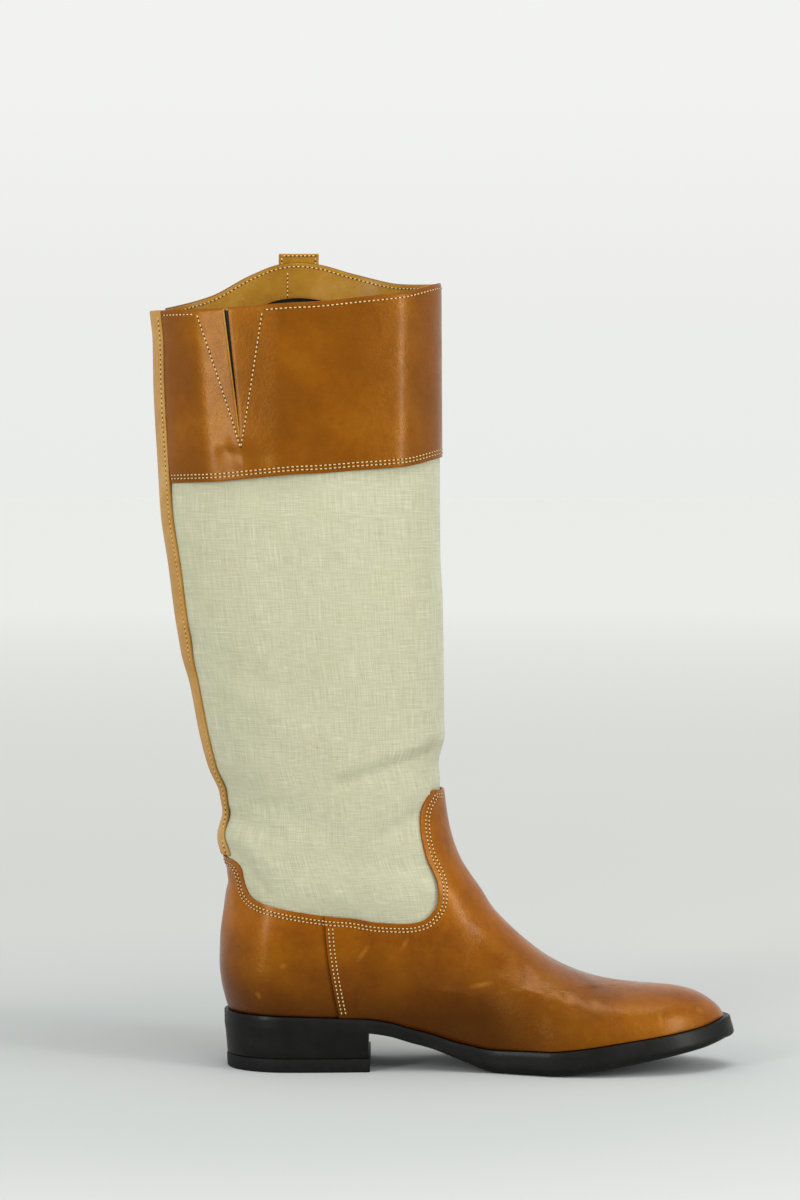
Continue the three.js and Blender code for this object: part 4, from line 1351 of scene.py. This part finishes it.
def sew(points, normals, pitch, radius=0.34, share=0.62):
    """Stitches at an even pitch along a line of points with normals, in millimetres."""
    steps = np.linalg.norm(np.diff(points, axis=0), axis=1)
    walked_length = np.concatenate([[0], np.cumsum(steps)])
    count = int(walked_length[-1] / pitch)
    stitch = bead(pitch * share, radius)
    hole = bead(pitch * (1 - share) * 1.15, radius * 1.25, 6, 3)
    for i in range(count):
        middle = (i + 0.5) * pitch
        at = [np.array([np.interp(d, walked_length, points[:, k]) for k in range(3)])
              for d in (middle - pitch / 2, middle, middle + pitch / 2)]
        normal = np.array([np.interp(middle, walked_length, normals[:, k]) for k in range(3)])
        normal /= np.linalg.norm(normal)
        along = at[2] - at[0]
        along -= normal * (along @ normal)
        along /= np.linalg.norm(along)
        threads.add(stitch, at[1] + normal * 0.05, along, normal)
        # the hole is a raised bead whose dark colour is painted shade
        holes.add(hole, at[0] + normal * 0.06, along, normal)


def vamp_lift(x, z):
    """How far the vamp stands proud near the side seam, and nothing on the counter."""
    past = x - seam_at(z)
    return np.where(past < 0, 0, vamp_step * (1 - smooth(0, 16, past)))


def sew_level(turn, z, lift, rows, pitch, facing=1):
    """Sews along turns and heights of the last. `facing` is -1 for thread inside the leg."""
    points = laid(level_surface, turn, z, lift + 0 * z, rows)
    sew(points, facing * normals_of(level_surface, turn, z), pitch)


def sew_on_last(x, z, side, lift, rows, pitch, facing=1):
    """Sews along places of the side view, on one side."""
    turn = turn_of(x, z)
    sew_level(turn if side == INNER else 2 * np.pi - turn, z, lift, rows, pitch, facing)


# %% Foot seams
for gap in (2.6, 4.4):
    line = paced_line(beside(topline_places, gap))
    x, z = line(np.linspace(0.012, 0.9995, 500))
    for side in (INNER, OUTER):
        sew_on_last(x, z, side, vamp_lift(x, z), foot_relief, foot_pitch)
for gap in (1.7, 3.9):
    z = np.linspace(31.5, 81.0 - gap * 0.2, 60)
    x = seam_at(z) + gap
    for side in (INNER, OUTER):
        sew_on_last(x, z, side, vamp_lift(x, z), foot_relief, foot_pitch)
print("foot stitches", threads.total, "corners")

# %% Cuff, gore and stay seams
ring_turns = np.linspace(0.42, 2 * np.pi - 0.42, 500)
ring_at, ring_side = share_at(ring_turns), side_of(ring_turns)
for up in (2.3, 4.1):
    sew_level(ring_turns, cuff_foot(ring_at) + up, 0.25, cuff_relief, cuff_pitch)
rim = rim_height(ring_at, ring_side) - 2.8
rim_points = laid(level_surface, ring_turns, rim, 0.2 + 0 * rim, cuff_relief)
rim_normals = normals_of(level_surface, ring_turns, rim)
rim_x = rim_points[:, 0] + shift[0]
outside_v = np.where((ring_side == OUTER) | (rim_x < -14) | (rim_x > 23.5))[0]
for stretch in np.split(outside_v, np.where(np.diff(outside_v) > 1)[0] + 1):
    sew(rim_points[stretch], rim_normals[stretch], cuff_pitch)
for share in (0.0, 1.0):
    z = np.linspace(gore_point + 0.5, 408.6, 80)
    x = gore_x + (z - gore_point) / gore_depth * gore_width * (share - gore_back)
    sew_on_last(x, z, INNER, 0.42, cuff_relief, cuff_pitch)
v = np.linspace(0.006, 0.995, 300)
for u in (-0.9, 0.9):
    edge_u = np.full_like(v, u)
    points = stay_surface(edge_u, v)
    stay_normals = normals_of(stay_surface, edge_u, v)
    sew(points + stay_normals * 1.1 - shift, stay_normals, strap_pitch, radius=0.32)

# %% [markdown]
# ## Edge of the slit
# The rear flap's edge is turned and burnished, so it shows as a light line along the slit. A fold
# in the panel would need much finer faces there, so a row of slim beads follows the edge.

# %% Edge of the slit
slit_edge = Seam("slit_edge")
z = np.linspace(slit_foot + 1, 409.6, 50)
x = slit_x(z) - slit_gap * (z - slit_foot) / gore_depth / 2 - 0.3
edge_turn = turn_of(x, z)
edge_points = laid(level_surface, edge_turn, z, 0.15 + 0 * z, cuff_relief)
edge_normals = normals_of(level_surface, edge_turn, z)
edge_bead = bead(2.6, 0.5)
for low_point, high_point, normal in zip(edge_points[:-1], edge_points[1:], edge_normals):
    along = (high_point - low_point) / np.linalg.norm(high_point - low_point)
    slit_edge.add(edge_bead, (low_point + high_point) / 2, along, normal)
slit_edge.make("tab_leather", facing_calf)

# %% [markdown]
# ## Seams of the tab and inside the collar
# The tab's rows run along its edges and across it, on its face and near its top also on its
# back. Inside the collar one row follows the rim, and a short one runs down the facing near the
# tab, as at a join. They could be left out as small, but the far side of the facing is in plain
# sight above the near rim.

# %% Pull tab stitches
tab_edge = 0.84  # share of the tab's half width where its rows run
tab_back, tab_face = 0.85, 2.95  # the tab's two faces, in mm off the last


def sew_tab(u, v, push, pitch, radius=0.34, facing=1):
    points, normals = on_tab(u + 0 * v, v + 0 * u, push + 0 * (u + v))
    sew(points, facing * normals, pitch, radius=radius)


tab_across = np.linspace(-tab_edge, tab_edge, 30)
for u in (-tab_edge, tab_edge):
    sew_tab(u, np.linspace(0.88, 0.975, 12), tab_back, inner_pitch, facing=-1)
sew_tab(tab_across, 0.975, tab_back, inner_pitch, facing=-1)
for u in (-tab_edge, tab_edge):
    v = np.linspace(0.04, 0.985, 60)
    sew_tab(u, v, tab_lift(v), strap_pitch, 0.36)
for v in (0.04, 0.4):
    sew_tab(tab_across, v, tab_face, strap_pitch, 0.36)
print("with the pull tab's stitches", threads.total, "corners")

# %% Stitches inside the collar
inside_thread = facing_lift - 0.02
inside_turns = np.linspace(0.05, 2 * np.pi - 0.05, 600)
inside_z = rim_height(share_at(inside_turns), side_of(inside_turns)) - 2.6
sew_level(inside_turns, inside_z, inside_thread, (), cuff_pitch, -1)
seam_share = 0.46  # where the facing's own seam stands, from back to front
seam_top = float(rim_height(seam_share, OUTER))
z = np.linspace(seam_top - facing_depth + 1, seam_top - 3.5, 30)
x = mix(back_at(z), front_at(z), seam_share)
sew_on_last(x, z, OUTER, inside_thread, (), inner_pitch, -1)

threads.make("stay_leather", thread)
holes.make("foot_leather", painted_hole_shade)

# %% [markdown]
# ## Floor
# The boot stands on pale paper. A curved backdrop would hide it in views from behind, so the
# paper is flat and wide, and painted lighter away from the boot, where a backdrop would catch
# more light.


# %% Floor
def make_floor():
    deselect()
    bpy.ops.mesh.primitive_circle_add(vertices=96, radius=30, fill_type="NGON")
    floor = bpy.context.object
    floor.name = floor.data.name = "paper_floor"
    material, tree, shader = new_material("matt paper", Roughness=0.95, Specular_IOR_Level=0.05)
    place = coordinates(tree, "Object")
    away = node(tree, "ShaderNodeVectorMath", {"operation": "LENGTH"}, {0: place}).outputs["Value"]
    paper = ramp(tree, ranged(tree, away, 0.0, 6.0, 0.0, 1.0), (0.04, "#b3b6b5"),
                 (0.1, "#c4c5c2"), (0.28, "#d8d9d6"), (0.53, "#e6e7e4"), (1, "#f7f8f5"))
    tree.links.new(paper, shader.inputs["Base Color"])
    floor.data.materials.append(material)


make_floor()


# %% [markdown]
# ## Lights
# The photograph has long soft highlights on both sides of the leg and a faint shadow. Tall soft
# boxes left and right give the highlights, a broad one above gives the toe its shine, and a pale
# world fills the shadows. Bare lamps would give small, hard highlights.

# %% Lights
def soft_box(name, place, target, size, power):
    light = bpy.data.lights.new(name, "AREA")
    light.shape, light.size, light.size_y, light.energy = "RECTANGLE", size[0], size[1], power
    made = bpy.data.objects.new(name, light)
    bpy.context.scene.collection.objects.link(made)
    made.location = place
    made.rotation_euler = (Vector(target) - Vector(place)).to_track_quat("-Z", "Y").to_euler()


soft_box("left box", (-1.05, -1.35, 0.62), (0, 0, 0.25), (0.28, 1.1), 15)
soft_box("right box", (1.50, -1.00, 0.65), (0.05, 0, 0.25), (0.28, 1.1), 15)
soft_box("top box", (0.35, -0.35, 1.6), (0.1, 0, 0), (0.9, 0.6), 9)

print("lights", [light.name for light in bpy.data.lights])

world = bpy.data.worlds.new("studio")
bpy.context.scene.world = world
world.use_nodes = True
sky = world.node_tree
direction = node(sky, "ShaderNodeTexCoord").outputs["Generated"]
height = node(sky, "ShaderNodeSeparateXYZ", inputs={"Vector": direction}).outputs["Z"]
glow = ramp(sky, height, (0.0, "#eaece9"), (0.04, "#ecedea"), (0.1, "#f2f3f1"), (0.5, "#f2f3f2"))
sky.links.new(glow, sky.nodes["Background"].inputs["Color"])
sky.nodes["Background"].inputs["Strength"].default_value = 1.0
